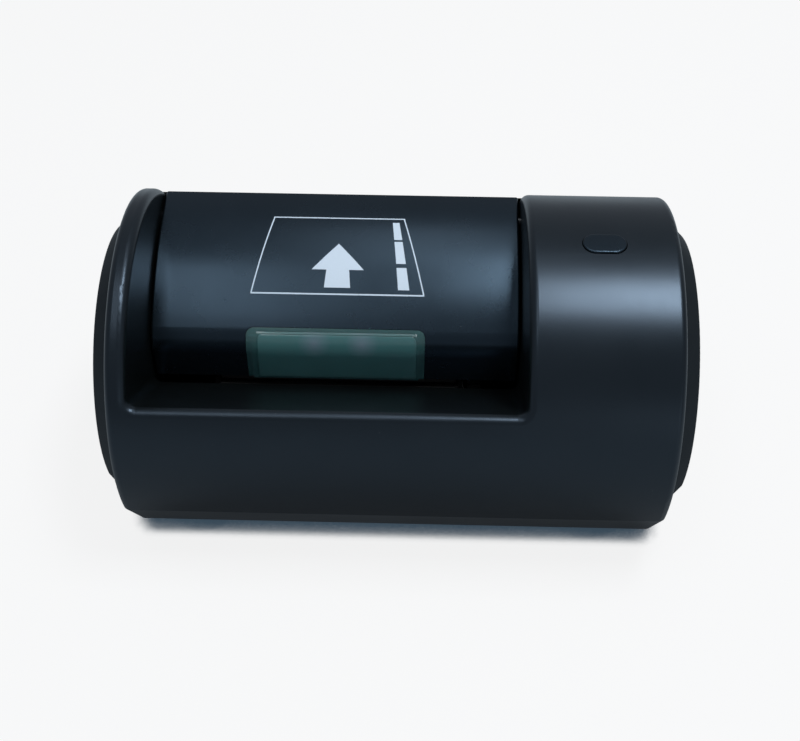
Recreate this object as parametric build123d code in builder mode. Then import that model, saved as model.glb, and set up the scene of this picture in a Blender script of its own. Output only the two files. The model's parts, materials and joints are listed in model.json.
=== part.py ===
from build123d import *
import os
from math import acos, asin, atan2, cos, degrees, hypot, pi, radians, sin, sqrt, tan

# Desktop cheque scanner: a drum-shaped housing with a hinged cover sunk between its two ends.
# X runs along the drum, Y to the back, Z up. The origin is the middle of the footprint on the table.
# All sizes are in millimetres.

# ---- Body ------------------------------------------------------------------------------------
body_length = 204.0  # between the flat ends of the drum
drum_radius = 66.0
drum_axis_z = 50.0
underside_z = 3.0  # the feet lift the body by this much
undercut_top_z = 30.0  # the front arc turns into a straight undercut at this height
undercut_foot_y = -46.0
foot_edge_radius = 5.0
end_edge_radius = 2.5
wall = 2.5
end_wall = 3.0
parting_z = 14.0  # the upper housing meets the base pan here
tongue_height = 2.0
tongue_thickness = 1.2
cap_inset = 7.4
cap_slope = 6.8
cap_height = 7.0
cap_edge_radius = 1.5
cap_peg_radius = 2.5
cap_peg_length = 2.6
cap_peg_spread = 60.0
cap_peg_z = 50.0
cap_low_peg_z = 20.0

# ---- Recess, ramp and hinge seat -------------------------------------------------------------
left_rim_width = 7.6
recess_width = 141.4
recess_edge_radius = 3.0
recess_corner_radius = 3.5
lip_z = 81.2
ramp_angle = 35.5
slot_y = -16.0
bay_floor_z = 20.0
hinge_depth = 10.1  # of the hinge axis under the drum's surface
hinge_angle = 42.8  # of the hinge axis over the horizontal, seen from the drum axis
seat_radius = 10.3
seat_hook = 4.0  # how far behind the hinge axis the seat's free edge lies
hinge_pin_radius = 2.0
hinge_boss_radius = 5.0
hinge_boss_length = 4.5

# ---- Cover -----------------------------------------------------------------------------------
cover_side_gap = 0.6
cover_seat_gap = 0.4
cover_rear_angle = 58.0  # where the cover's rear edge lies round the hinge axis
cover_top_radius = 89.3
cover_wall = 2.5
cover_skirt = 8.0
cover_edge_radius = 1.0
nose_y = -15.0
nose_radius = 12.0
mouth_gap = 3.5  # between the ramp and the nose of the cover
barrel_radius = 8.0
barrel_wall = 2.5
barrel_hub = 6.0
cover_boss_radius = 4.0
cover_boss_z = 70.0

# ---- Window in the nose ----------------------------------------------------------------------
window_width = 68.4
window_center_x = -23.5
window_rise = 6.4  # over the nose's corner, along the cutting plane
window_tilt = 40.0  # of the cutting plane's normal over the horizontal
window_corner_radius = 3.2
window_ledge = 2.0
window_seat_depth = 1.4
window_proud = 0.8
window_bevel = 2.4

# ---- Cheque path -----------------------------------------------------------------------------
path_z = 37.6
path_radius = 60.0
path_gap = 1.5
path_width = 86.0
path_center_x = -23.0
guide_margin = 2.8
guide_wall = 2.0
guide_rib_height = 6.0
guide_rib_width = 1.4
guide_joint_gap = 1.0  # along the path, between the upper guide and the rear guide
guide_post_front_spread = 11.0
guide_post_front_y = 2.0
guide_post_rear_spread = 25.0
guide_post_rear_y = 24.0
guide_screw_length = 10.0
lower_rib_drop = 2.0
lower_rib_lag = 3.0  # behind the slot
opening_clearance = 1.0  # of a guide's opening over the roller or head in it
peg_clearance = 0.1  # under the paper
guide_screw_grip = 6.0
guide_peg_radius = 1.2
guide_peg_front_y = -11.0
guide_peg_rear_y = 57.0
rear_guide_lead = 10.2  # of the rear guide's front edge before the exit roller
rear_peg_lead = 6.2
exit_slot_height = 4.4
rib_count = 5
roller_clearance = 0.6

# ---- Chassis ---------------------------------------------------------------------------------
chassis_gap = 1.2
chassis_steel = 1.5
chassis_foot_z = 9.0
chassis_foot_width = 10.0
chassis_foot_front_y = -24.0
chassis_foot_rear_y = 56.0
chassis_front_y = -32.0
chassis_rear_y = 61.0
chassis_top_z = 52.0
chassis_nose_z = 46.0
chassis_throat_z = 44.0
chassis_corner_radius = 4.0
cable_pass_width = 14.0
cable_pass_height = 5.0
tie_front = (-26.0, 42.0)
tie_rear = (42.0, 18.0)
tie_bar_radius = 3.0
bush_radius = 4.2
bush_flange_radius = 5.6
bush_flange = 1.0

# ---- Rollers and gears -----------------------------------------------------------------------
running_gap = 0.05  # radial, between a shaft and its bush
nip_gap = 0.3
feed_contact_angle = 22.0  # where the feed roller touches the bent path
feed_radius = 8.0
feed_shaft_radius = 3.0
exit_radius = 5.0
exit_shaft_radius = 2.5
pinch_radius = 5.0
pinch_shaft_radius = 1.5
roller_width = 14.0
roller_spread = 54.0
gear_module = 0.8
gear_width = 5.0
gear_side_gap = 2.0
gear_backlash = 0.16
gear_rim = 2.5
gear_hub_wall = 2.0
gear_hole_count = 5
chassis_throat_lead = 3.0  # before the slot
chassis_shoulder_lag = 2.0  # behind the slot
chassis_shoulder_drop = 4.0
chassis_top_lag = 8.0
pressure_angle = 20.0
pinion_teeth = 12
feed_teeth = 40
idler_teeth = 35
exit_teeth = 25
shaft_overhang = 2.5
clip_thickness = 0.8
clip_width = 2.0
idler_stud_radius = 2.5
stud_head_radius = 4.0
motor_angle = 225.0  # of the motor seen from the feed shaft
motor_radius = 12.0
motor_length = 30.0
motor_chamfer = 1.2
motor_flange = 1.0
motor_boss_radius = 4.0
motor_shaft_radius = 1.5
motor_shaft_depth = 6.0
motor_ear_width = 7.0
motor_screw_spread = 15.5
motor_screw_head = 1.2

# ---- Sensors ---------------------------------------------------------------------------------
scan_lead = 17.7  # of the image sensor before the exit roller
scan_width = 12.0
scan_height = 10.0
scan_glass = 1.0
scan_side_wall = 2.0
scan_edge_wall = 2.5
scan_pocket_depth = 4.0
scan_bracket_inset = 2.0
scan_bracket_height = 4.0
path_flush_gap = 0.1  # of the sensor glass and the read head under the paper
head_lead = 18.0  # of the read head before the image sensor
head_x = 15.6
head_size = 8.0
head_height = 10.0
head_rounding = 1.5
pad_spring_steel = 0.4
head_bracket_steel = 0.8
head_bracket_margin = 3.0  # beyond the read head, to the front and the back
magnet_depth = 4.0
magnet_height = 4.0
sensor_size = 6.0
sensor_height = 5.0
entry_sensor_y = -9.0
exit_sensor_lead = 6.7

# ---- Electronics -----------------------------------------------------------------------------
board_thickness = 1.6
main_board_z = 13.0
main_board_left = 52.0
main_board_right = 87.0
main_board_front = -32.0
main_board_rear = 61.5
jack_x = 60.0
jack_width = 9.0
jack_height = 11.0
jack_bore_radius = 3.1
jack_bore_depth = 11.0
jack_pin_radius = 1.0
jack_pin_length = 9.5
socket_x = 76.0
socket_width = 15.0
socket_height = 13.0
socket_mouth_width = 11.7
socket_mouth_height = 8.0
connector_depth = 14.0
socket_mouth_depth = 12.0
socket_latch_depth = 2.0

ribbon_width = 10.0
ribbon_thickness = 0.5
lead_radius = 1.2
lead_bend_radius = 3.0
lead_tail = 7.0  # straight out of the motor
lead_swing = 18.0  # towards the front
lead_lift = 5.0  # over the base pan's floor
lead_inset = 5.0  # before the right wall of the recess
lead_reach = 3.0  # before its header
header_lift = 3.0  # of a lead or cable over the main board at its header
scan_cable_shift = 30.0  # to the right of the path's middle
scan_cable_lift = 6.5  # over the base pan's floor
scan_cable_bend = 2.0
scan_cable_rise = 4.0  # width of the rise beside the recess
scan_cable_rise_lead = 3.0
scan_cable_board_lift = 1.5
scan_cable_reach = 2.5
key_cable_bend = 12.0
key_cable_high_z = 80.0
key_cable_middle_z = 60.0
key_cable_low_z = 40.0
key_cable_bow = 5.0
lead_socket_inset = 6.0
lead_socket_y = -18.0
scan_socket_inset = 5.0
key_socket_inset = 7.0

# ---- Status key ------------------------------------------------------------------------------
key_x = 74.3
key_y = -5.0
key_length = 15.8
key_width = 9.2
key_proud = 0.7
key_gap = 0.25
key_travel = 0.8
key_flange = 1.2
key_stem_radius = 2.0
key_board_z = 103.0
key_board_margin = 4.0
key_post_spread = 26.0
key_post_radius = 3.0
key_screw_radius = 0.9
key_screw_length = 6.0
switch_size = 6.0
switch_height = 4.0
switch_floor = 0.6
plunger_radius = 1.6
lamp_radius = 1.5
lamp_height = 3.0
lamp_chamfer = 0.5

# ---- Fixings and feet ------------------------------------------------------------------------
fit_gap = 0.2
foot_radius = 7.0
foot_chamfer = 0.8
foot_pocket = 1.4
foot_x = 77.0
foot_front_y = -35.0
foot_rear_y = 52.0
post_bite = 0.5  # how far the housing's bosses run into its end walls
post_front_y = -37.0
post_rear_y = 55.0
post_radius = 5.0
boss_radius = 4.5
boss_length = 18.0
screw_radius = 1.5
screw_head_radius = 3.0
screw_head = 2.0
screw_length = 18.0
counterbore_depth = 4.0
small_screw_radius = 1.2
small_screw_length = 5.5
small_screw_bite = 4.0
chassis_screw_inset = 6.0
board_screw_inset = 4.0
chassis_post_radius = 4.0
board_post_radius = 3.0

processor_size = 14.0
processor_height = 1.6
processor_y = 8.0
memory_width = 8.0
memory_depth = 11.0
memory_height = 1.2
memory_y = 22.0
memory_pitch = 12.0
capacitor_radius = 3.0
capacitor_height = 8.0
capacitor_y = 35.0
capacitor_pitch = 10.0
lead_header_width = 6.0
lead_header_depth = 10.0
lead_header_height = 6.0
header_width = 5.0
header_height = 3.0
scan_header_depth = 13.0
key_header_depth = 12.0

# ---- Derived places --------------------------------------------------------------------------
reach = 2 * body_length  # longer than anything that is cut
end_x = body_length / 2
recess_left_x = left_rim_width - end_x
recess_right_x = recess_left_x + recess_width
lip_y = -sqrt(drum_radius**2 - (lip_z - drum_axis_z) ** 2)
slope = tan(radians(ramp_angle))


def polar(center, radius, angle):
    """Point at radius and angle (degrees) from center, in the side view."""
    return (center[0] + radius * cos(radians(angle)), center[1] + radius * sin(radians(angle)))


def ramp_z(y):
    """Height of the ramp's surface, or of its line extended."""
    return lip_z - (y - lip_y) * slope


def path_height(y):
    """Height of the cheque path at y."""
    if y >= path_center[0]:
        return path_z
    if y <= path_center[0] - path_radius * sin(radians(ramp_angle)):
        return ramp_z(y)
    return path_center[1] - sqrt(path_radius**2 - (path_center[0] - y) ** 2)


drum_axis = (0.0, drum_axis_z)
hinge_distance = drum_radius - hinge_depth
hinge = polar(drum_axis, hinge_distance, hinge_angle)
seat_share = (drum_radius**2 + hinge_distance**2 - seat_radius**2) / (2 * drum_radius * hinge_distance)
bridge_edge = polar(drum_axis, drum_radius, hinge_angle + degrees(acos(seat_share)))
bay_rear_y = hinge[0] + seat_hook

cover_left_x = recess_left_x + cover_side_gap
cover_width = recess_width - 2 * cover_side_gap
cover_right_x = cover_left_x + cover_width
cover_rear = polar(hinge, seat_radius - cover_seat_gap, cover_rear_angle)
cover_arc_center = (cover_rear[0], cover_rear[1] - cover_top_radius)
nose_corner_z = cover_arc_center[1] + sqrt(cover_top_radius**2 - (cover_rear[0] - nose_y) ** 2)
nose_bottom_z = ramp_z(nose_y) + mouth_gap / cos(radians(ramp_angle))

path_bend_y = lip_y + (lip_z - path_z) / slope
path_tangent = path_radius * tan(radians(ramp_angle / 2))
path_center = (path_bend_y + path_tangent, path_z + path_radius)
path_left_x = path_center_x - path_width / 2
path_right_x = path_center_x + path_width / 2
guide_left_x = path_left_x - guide_margin
guide_width = path_width + 2 * guide_margin
guide_right_x = guide_left_x + guide_width
plate_left_x = guide_left_x - chassis_gap - chassis_steel
plate_right_x = guide_right_x + chassis_gap
gear_x = plate_right_x + chassis_steel + gear_side_gap

feed_axis = polar(path_center, path_radius + feed_radius, 270 - feed_contact_angle)
feed_pinch_axis = polar(path_center, path_radius - pinch_radius - nip_gap, 270 - feed_contact_angle)
exit_axis_z = path_z - exit_radius
feed_gear_radius = gear_module * feed_teeth / 2
idler_gear_radius = gear_module * idler_teeth / 2
exit_gear_radius = gear_module * exit_teeth / 2
pinion_radius = gear_module * pinion_teeth / 2
train_length = feed_gear_radius + 2 * idler_gear_radius + exit_gear_radius
train_angle = degrees(asin((exit_axis_z - feed_axis[1]) / train_length))
idler_axis = polar(feed_axis, feed_gear_radius + idler_gear_radius, train_angle)
exit_axis = polar(feed_axis, train_length, train_angle)
exit_pinch_axis = (exit_axis[0], path_z + pinch_radius + nip_gap)
rear_guide_y = exit_axis[0] - rear_guide_lead
guide_rear_y = rear_guide_y - guide_joint_gap
scan_y = exit_axis[0] - scan_lead
head_y = scan_y - head_lead
exit_sensor_y = exit_axis[0] - exit_sensor_lead
motor_axis = polar(feed_axis, feed_gear_radius + pinion_radius, motor_angle)
platen_axis = (scan_y, path_z + pinch_radius + nip_gap)
pinch_bore_radius = pinch_shaft_radius + running_gap
shaft_left_x = plate_left_x - bush_flange - clip_thickness - shaft_overhang
shaft_right_x = gear_x + gear_width + clip_thickness + shaft_overhang
roller_centers = (path_center_x - roller_spread / 2, path_center_x + roller_spread / 2)
key_top_z = drum_axis_z + sqrt(drum_radius**2 - key_y**2)
key_flange_top_z = drum_axis_z + sqrt((drum_radius - wall) ** 2 - (abs(key_y) + key_width) ** 2) - fit_gap
floor_z = underside_z + wall
post_x = end_x - end_wall - boss_radius + post_bite
board_top_z = main_board_z + board_thickness
key_board_top_z = key_board_z + board_thickness
standing = (Align.CENTER, Align.CENTER, Align.MIN)  # sits on the given place
hanging = (Align.CENTER, Align.CENTER, Align.MAX)
os.makedirs("parts", exist_ok=True)


def save(part, label):
    """Name a finished piece and write it out."""
    part.label = label
    export_step(part, f"parts/{label}.step")


# ---- Shared side views -----------------------------------------------------------------------
with BuildSketch() as drum_section:
    with BuildLine():
        front_sweep = 180 + degrees(asin((drum_axis_z - undercut_top_z) / drum_radius))
        drum_arc = CenterArc(drum_axis, drum_radius, 0, front_sweep)
        Polyline(drum_arc @ 1, (undercut_foot_y, underside_z), (drum_radius, underside_z), drum_arc @ 0)
    make_face()
    fillet(drum_section.vertices().group_by(Axis.Y)[0], foot_edge_radius)


def drum_inside(inset):
    """Side view of the drum, moved inwards by inset."""
    with BuildSketch() as inner:
        add(drum_section.sketch)
        offset(amount=-inset, mode=Mode.REPLACE)
    return inner.sketch


def recess_section(growth):
    """Side view of the recess with the open bay behind the ramp, its walls moved out by growth."""
    drop = growth / cos(radians(ramp_angle))
    beyond_bridge = polar(hinge, reach, degrees(atan2(bridge_edge[1] - hinge[1], bridge_edge[0] - hinge[0])))
    with BuildSketch() as section:
        with BuildLine():
            Polyline(
                (-reach, ramp_z(-reach) - drop),
                (slot_y, ramp_z(slot_y) - drop),
                (slot_y, bay_floor_z),
                (bay_rear_y, bay_floor_z),
                (bay_rear_y, hinge[1]),
                hinge,
                beyond_bridge,
                (-reach, beyond_bridge[1]),
                close=True,
            )
        make_face()
        with Locations(hinge):
            Circle(seat_radius + growth)
    return section.sketch


def recess_block(growth):
    """Solid of the recess, with its walls moved out by growth and rounded along the ramp."""
    with BuildPart() as block:
        with BuildSketch(Plane.YZ.offset(recess_left_x - growth)):
            add(recess_section(growth))
        extrude(amount=recess_width + 2 * growth)
        ramp_direction = Axis((0, 0, 0), (0, 1, -slope))
        fillet(block.edges().filter_by(ramp_direction), recess_corner_radius + growth)
    return block.part


def above_path(rise):
    """Side view of everything that lies at least rise above the cheque path."""
    radius = path_radius - rise
    start = polar(path_center, radius, 270 - ramp_angle)
    with BuildSketch() as region:
        with BuildLine():
            bend = CenterArc(path_center, radius, 270 - ramp_angle, ramp_angle)
            Polyline(
                bend @ 1,
                (reach, path_z + rise),
                (reach, reach),
                (-reach, reach),
                (-reach, start[1] + (start[0] + reach) * slope),
                bend @ 0,
            )
        make_face()
    return region.sketch


def path_band(low, high, front_y, rear_y):
    """Side view of a strip that follows the path, from low to high above it."""
    with BuildSketch() as band:
        add(above_path(low))
        add(above_path(high), mode=Mode.SUBTRACT)
        with Locations(((front_y + rear_y) / 2, 0)):
            Rectangle(rear_y - front_y, reach, mode=Mode.INTERSECT)
    return band.sketch


def cover_section(inset):
    """Side view under the cover's outer surface, moved inwards by inset, open at the rear and bottom."""
    with BuildSketch() as section:
        with Locations(cover_arc_center):
            Circle(cover_top_radius - inset)
        with Locations((nose_y + inset, nose_bottom_z)):
            Rectangle(
                cover_rear[0] - nose_y - inset,
                cover_top_radius,
                align=(Align.MIN, Align.MIN),
                mode=Mode.INTERSECT,
            )
        if inset < nose_radius:
            fillet(section.vertices().group_by(Axis.X)[0].sort_by(Axis.Y)[-1], nose_radius - inset)
    return section.sketch


# ---- Housing ---------------------------------------------------------------------------------
with BuildPart() as cavity:
    with BuildSketch(Plane.YZ.offset(end_wall - end_x)):
        add(drum_inside(wall))
    extrude(amount=body_length - 2 * end_wall)

with BuildPart() as body_form:
    with BuildSketch(Plane.YZ.offset(-end_x)):
        add(drum_section.sketch)
    extrude(amount=body_length)
    fillet(body_form.edges().group_by(Axis.X)[0] + body_form.edges().group_by(Axis.X)[-1], end_edge_radius)
    add(recess_block(0), mode=Mode.SUBTRACT)
    rim_edges = body_form.edges().filter_by(
        lambda edge: recess_left_x - 1 < edge.center().X < recess_right_x + 1
        and abs(hypot((edge @ 0.5).Y, (edge @ 0.5).Z - drum_axis_z) - drum_radius) < 0.01
        and (edge @ 0.5).Z > drum_axis_z
        and (edge @ 0.5).Y < bridge_edge[0] - 1
    )
    fillet(rim_edges, recess_edge_radius)

boss_places = [(x, y, parting_z) for x in (-post_x, post_x) for y in (post_front_y, post_rear_y)]
peg_places = [(-cap_peg_spread / 2, cap_peg_z), (cap_peg_spread / 2, cap_peg_z), (0, cap_low_peg_z)]
key_post_places = [(key_x - key_post_spread / 2, key_y), (key_x + key_post_spread / 2, key_y)]

with BuildPart() as housing_hollow:
    add(cavity.part)
    add(recess_block(wall), mode=Mode.SUBTRACT)

with BuildPart() as upper_housing:
    add(body_form.part)
    add(housing_hollow.part, mode=Mode.SUBTRACT)
    split(bisect_by=Plane.XY.offset(parting_z), keep=Keep.TOP)
    # Screw bosses that stand on the base pan's posts.
    with BuildSketch(Plane.XY.offset(parting_z)):
        with Locations([place[:2] for place in boss_places]):
            Circle(boss_radius)
    extrude(amount=boss_length)
    with Locations(boss_places):
        Cylinder(screw_radius, boss_length - wall, align=standing,
                 mode=Mode.SUBTRACT)
    # Hinge bosses outside both recess walls, and the pin's bore through them.
    for boss_start, boss_reach in (
        (end_wall - end_x - 0.5, left_rim_width - end_wall - wall + 1.0),
        (recess_right_x + wall, hinge_boss_length),
    ):
        with BuildSketch(Plane.YZ.offset(boss_start)):
            with Locations(hinge):
                Circle(hinge_boss_radius)
        extrude(amount=boss_reach)
    with BuildSketch(Plane.YZ.offset(end_wall - end_x)):
        with Locations(hinge):
            Circle(hinge_pin_radius)
    extrude(amount=recess_right_x + wall + hinge_boss_length + end_x - end_wall + 1, mode=Mode.SUBTRACT)
    # Posts for the key board, under the roof of the right section.
    with BuildSketch(Plane.XY.offset(key_board_top_z)):
        with Locations(key_post_places):
            Circle(key_post_radius)
    extrude(amount=key_top_z - wall / 2 - key_board_top_z)
    with Locations([(x, y, key_board_top_z) for x, y in key_post_places]):
        Cylinder(key_screw_radius, key_screw_length, align=standing, mode=Mode.SUBTRACT)
    with BuildSketch(Plane.XY.offset(key_top_z - 3 * wall)):
        with Locations((key_x, key_y)):
            SlotOverall(key_length + 2 * key_gap, key_width + 2 * key_gap)
    extrude(amount=4 * wall, mode=Mode.SUBTRACT)
    # Slot in the rear wall where the cheque comes out, and the connector openings.
    with Locations((path_center_x, drum_radius - wall / 2, path_z + path_gap / 2)):
        Box(path_width + 2, 2 * wall, exit_slot_height, mode=Mode.SUBTRACT)
    with Locations((jack_x, drum_radius - wall / 2, board_top_z + jack_height / 2)):
        Box(jack_width + 2 * fit_gap, 2 * wall, jack_height + 2 * fit_gap, mode=Mode.SUBTRACT)
    with Locations((socket_x, drum_radius - wall / 2, board_top_z + socket_height / 2)):
        Box(socket_width + 2 * fit_gap, 2 * wall, socket_height + 2 * fit_gap, mode=Mode.SUBTRACT)
    # Holes for the end caps' pegs.
    for side in (-1, 1):
        with BuildSketch(Plane.YZ.offset(side * end_x)):
            with Locations(peg_places):
                Circle(cap_peg_radius + fit_gap)
        extrude(amount=-side * (end_wall + 0.5), mode=Mode.SUBTRACT)
save(upper_housing.part, "upper_housing")

# ---- Base pan and feet -----------------------------------------------------------------------
foot_places = [(x, y) for x in (-foot_x, foot_x) for y in (foot_front_y, foot_rear_y)]
chassis_screw_places = [
    (x, y)
    for x in (plate_left_x - chassis_foot_width / 2, plate_right_x + chassis_steel + chassis_foot_width / 2)
    for y in (chassis_foot_front_y + chassis_screw_inset, chassis_foot_rear_y - chassis_screw_inset)
]
board_screw_places = [
    (x, y)
    for x in (main_board_left + board_screw_inset, main_board_right - board_screw_inset)
    for y in (main_board_front + board_screw_inset, main_board_rear - connector_depth - board_screw_inset)
]

with BuildPart() as base_pan:
    add(body_form.part)
    split(bisect_by=Plane.XY.offset(parting_z), keep=Keep.BOTTOM)
    add(cavity.part, mode=Mode.SUBTRACT)
    # Tongue that lines the base up inside the upper housing.
    for tongue_inset, tongue_low in ((wall / 2, parting_z - tongue_height), (wall + fit_gap, parting_z)):
        tongue_x = end_x - end_wall + wall - tongue_inset
        with BuildSketch(Plane.YZ.offset(-tongue_x)):
            add(drum_inside(tongue_inset))
            with Locations((0, tongue_low)):
                Rectangle(reach, tongue_height, align=(Align.CENTER, Align.MIN), mode=Mode.INTERSECT)
        extrude(amount=2 * tongue_x)
    tongue_inner = wall + fit_gap + tongue_thickness
    tongue_x = end_x - end_wall + wall - tongue_inner
    with BuildSketch(Plane.YZ.offset(-tongue_x)):
        add(drum_inside(tongue_inner))
    extrude(amount=2 * tongue_x, mode=Mode.SUBTRACT)
    with Locations(boss_places):
        Cylinder(boss_radius + 2 * fit_gap, 2 * tongue_height, align=standing,
                 mode=Mode.SUBTRACT)
    for connector_x, connector_width in ((jack_x, jack_width), (socket_x, socket_width)):
        with Locations((connector_x, drum_radius - wall - tongue_thickness, parting_z)):
            Box(connector_width + 2, 2 * wall, 2 * tongue_height,
                align=standing, mode=Mode.SUBTRACT)
    # Posts under the housing's bosses, the chassis and the main board.
    with BuildSketch(Plane.XY.offset(underside_z)):
        with Locations([place[:2] for place in boss_places]):
            Circle(post_radius)
    extrude(amount=parting_z - underside_z)
    with BuildSketch(Plane.XY.offset(floor_z - 1)):
        with Locations(chassis_screw_places):
            Circle(chassis_post_radius)
    extrude(amount=chassis_foot_z - floor_z + 1)
    with BuildSketch(Plane.XY.offset(floor_z - 1)):
        with Locations(board_screw_places):
            Circle(board_post_radius)
    extrude(amount=main_board_z - floor_z + 1)
    # Screw holes: counterbored from below for the housing, blind from above for the rest.
    with Locations([(x, y, underside_z) for x, y, z in boss_places]):
        Cylinder(screw_head_radius + fit_gap, counterbore_depth,
                 align=standing, mode=Mode.SUBTRACT)
        Cylinder(screw_radius + fit_gap, parting_z, align=standing,
                 mode=Mode.SUBTRACT)
    with Locations(
        [(x, y, chassis_foot_z) for x, y in chassis_screw_places]
        + [(x, y, main_board_z) for x, y in board_screw_places]
    ):
        Cylinder(small_screw_radius, small_screw_bite, align=hanging, mode=Mode.SUBTRACT)
    # Pockets for the feet.
    with Locations([(x, y, underside_z) for x, y in foot_places]):
        Cylinder(foot_radius + fit_gap, foot_pocket, align=standing,
                 mode=Mode.SUBTRACT)
save(base_pan.part, "base_pan")

with BuildPart() as feet:
    with Locations([(x, y, 0) for x, y in foot_places]):
        Cylinder(foot_radius, underside_z + foot_pocket, align=standing)
    chamfer(feet.faces().group_by(Axis.Z)[0].edges(), foot_chamfer)
save(feet.part, "feet")


def pan_screws(places, upwards, shank_radius, length):
    """Pan-head screws whose heads bear on the given places, with shanks that point up or down."""
    shank_side, head_side = (standing, hanging) if upwards else (hanging, standing)
    with BuildPart() as screws:
        with Locations(places):
            Cylinder(2 * shank_radius, screw_head, align=head_side)
            Cylinder(shank_radius, length, align=shank_side)
    return screws.part


housing_screws = pan_screws(
    [(x, y, underside_z + counterbore_depth) for x, y, z in boss_places], True, screw_radius, screw_length
)
save(housing_screws, "housing_screws")
pan_screws_in_posts = pan_screws(
    [(x, y, board_top_z) for x, y in board_screw_places]
    + [(x, y, chassis_foot_z + chassis_steel) for x, y in chassis_screw_places],
    False,
    small_screw_radius,
    small_screw_length,
)
save(pan_screws_in_posts, "pan_screws")

# ---- End caps: bevelled panels on both ends --------------------------------------------------
for side, cap_name in ((-1, "left_end_cap"), (1, "right_end_cap")):
    with BuildPart() as end_cap:
        with BuildSketch(Plane.YZ.offset(side * end_x)):
            add(drum_inside(cap_inset))
        with BuildSketch(Plane.YZ.offset(side * (end_x + cap_height))):
            add(drum_inside(cap_inset + cap_slope))
        loft()
        outer_face = end_cap.faces().sort_by(Axis.X)[-1 if side > 0 else 0]
        fillet(outer_face.edges(), cap_edge_radius)
        with BuildSketch(Plane.YZ.offset(side * end_x)):
            with Locations(peg_places):
                Circle(cap_peg_radius)
        extrude(amount=-side * cap_peg_length)
    save(end_cap.part, cap_name)

# ---- Cover, its window and its hinge pin -----------------------------------------------------
window_plane = Plane(
    origin=(window_center_x, nose_y, nose_corner_z),
    x_dir=(1, 0, 0),
    z_dir=(0, -cos(radians(window_tilt)), sin(radians(window_tilt))),
)


def window_prism(inset):
    """Block through the nose whose outline is the window's, moved inwards by inset."""
    with BuildPart() as prism:
        with BuildSketch(window_plane) as outline:
            with Locations((0, window_rise - inset)):
                Rectangle(window_width - 2 * inset, 5 * window_rise, align=(Align.CENTER, Align.MAX))
            fillet(outline.vertices().group_by(Axis.Z)[-1], window_corner_radius - inset / 2)
        extrude(amount=3 * window_rise, both=True)
    return prism.part


def cover_slab(low, high, left_x, width):
    """Layer of the cover between low and high under its outer surface."""
    with BuildPart() as slab:
        with BuildSketch(Plane.YZ.offset(left_x)):
            add(cover_section(low))
            add(cover_section(high), mode=Mode.SUBTRACT)
        extrude(amount=width)
    return slab.part


cover_boss_places = [
    (path_center_x + side * spread, y)
    for spread, y in (
        (guide_post_front_spread, guide_post_front_y),
        (guide_post_rear_spread, guide_post_rear_y),
    )
    for side in (-1, 1)
]

with BuildPart() as window_pocket:
    add(cover_slab(0, window_seat_depth, cover_left_x, cover_width))
    add(window_prism(0), mode=Mode.INTERSECT)

with BuildPart() as cover_bosses:
    with BuildSketch(Plane.XY.offset(cover_boss_z)):
        with Locations(cover_boss_places):
            Circle(cover_boss_radius)
    extrude(amount=drum_radius)
    with BuildSketch(Plane.YZ.offset(cover_left_x)):
        add(cover_section(cover_wall / 2))
    extrude(amount=cover_width, mode=Mode.INTERSECT)

with BuildPart() as cover:
    add(cover_slab(0, cover_wall, cover_left_x, cover_width))
    for skirt_x in (cover_left_x, cover_right_x - cover_wall):
        add(cover_slab(0, cover_skirt, skirt_x, cover_wall))
    # Barrel round the hinge pin, hollow between its two hubs.
    with BuildSketch(Plane.YZ.offset(cover_left_x)):
        with Locations(hinge):
            Circle(barrel_radius)
    extrude(amount=cover_width)
    with BuildSketch(Plane.YZ.offset(cover_left_x + barrel_hub)):
        with Locations(hinge):
            Circle(barrel_radius - barrel_wall)
    extrude(amount=cover_width - 2 * barrel_hub, mode=Mode.SUBTRACT)
    with BuildSketch(Plane.YZ.offset(cover_left_x)):
        with Locations(hinge):
            Circle(hinge_pin_radius + running_gap)
    extrude(amount=cover_width, mode=Mode.SUBTRACT)
    add(window_pocket.part, mode=Mode.SUBTRACT)
    add(window_prism(window_ledge), mode=Mode.SUBTRACT)
    add(cover_bosses.part)
    with Locations([(x, y, cover_boss_z) for x, y in cover_boss_places]):
        Cylinder(small_screw_radius, guide_screw_length - guide_screw_grip + 1, align=standing,
                 mode=Mode.SUBTRACT)
    side_edges = cover.edges().filter_by(
        lambda edge: min(abs(edge.center().X - cover_left_x), abs(edge.center().X - cover_right_x)) < 0.01
        and (
            abs(hypot((edge @ 0.5).Y - cover_arc_center[0], (edge @ 0.5).Z - cover_arc_center[1])
                - cover_top_radius) < 0.01
            or ((edge @ 0.5).Y < nose_y + nose_radius / 3 and (edge @ 0.5).Z > nose_bottom_z + 1)
        )
    )
    fillet(side_edges, cover_edge_radius)
save(cover.part, "cover")

with BuildPart() as window_plug:
    add(cover_slab(window_seat_depth - 0.1, cover_wall, cover_left_x, cover_width))
    add(window_prism(window_ledge + fit_gap), mode=Mode.INTERSECT)

with BuildPart() as window_field:
    add(cover_slab(-window_proud, 0.1, cover_left_x, cover_width))
    add(window_prism(window_bevel), mode=Mode.INTERSECT)

with BuildPart() as cover_window:
    add(cover_slab(0, window_seat_depth, cover_left_x, cover_width))
    add(window_prism(fit_gap), mode=Mode.INTERSECT)
    add(window_field.part)
    add(window_plug.part)
save(cover_window.part, "cover_window")

with BuildPart() as hinge_pin:
    with BuildSketch(Plane.YZ.offset(end_wall - end_x + fit_gap)):
        with Locations(hinge):
            Circle(hinge_pin_radius)
    extrude(amount=recess_right_x + wall + hinge_boss_length - end_wall + end_x - fit_gap)
save(hinge_pin.part, "hinge_pin")

# ---- Upper guide, carried by the cover -------------------------------------------------------
rib_pitch = (guide_width - guide_rib_width) / (rib_count - 1)
head_opening = head_size + opening_clearance
guide_front_y = nose_y + cover_wall + fit_gap
pad_top = path_gap + guide_wall

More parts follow.
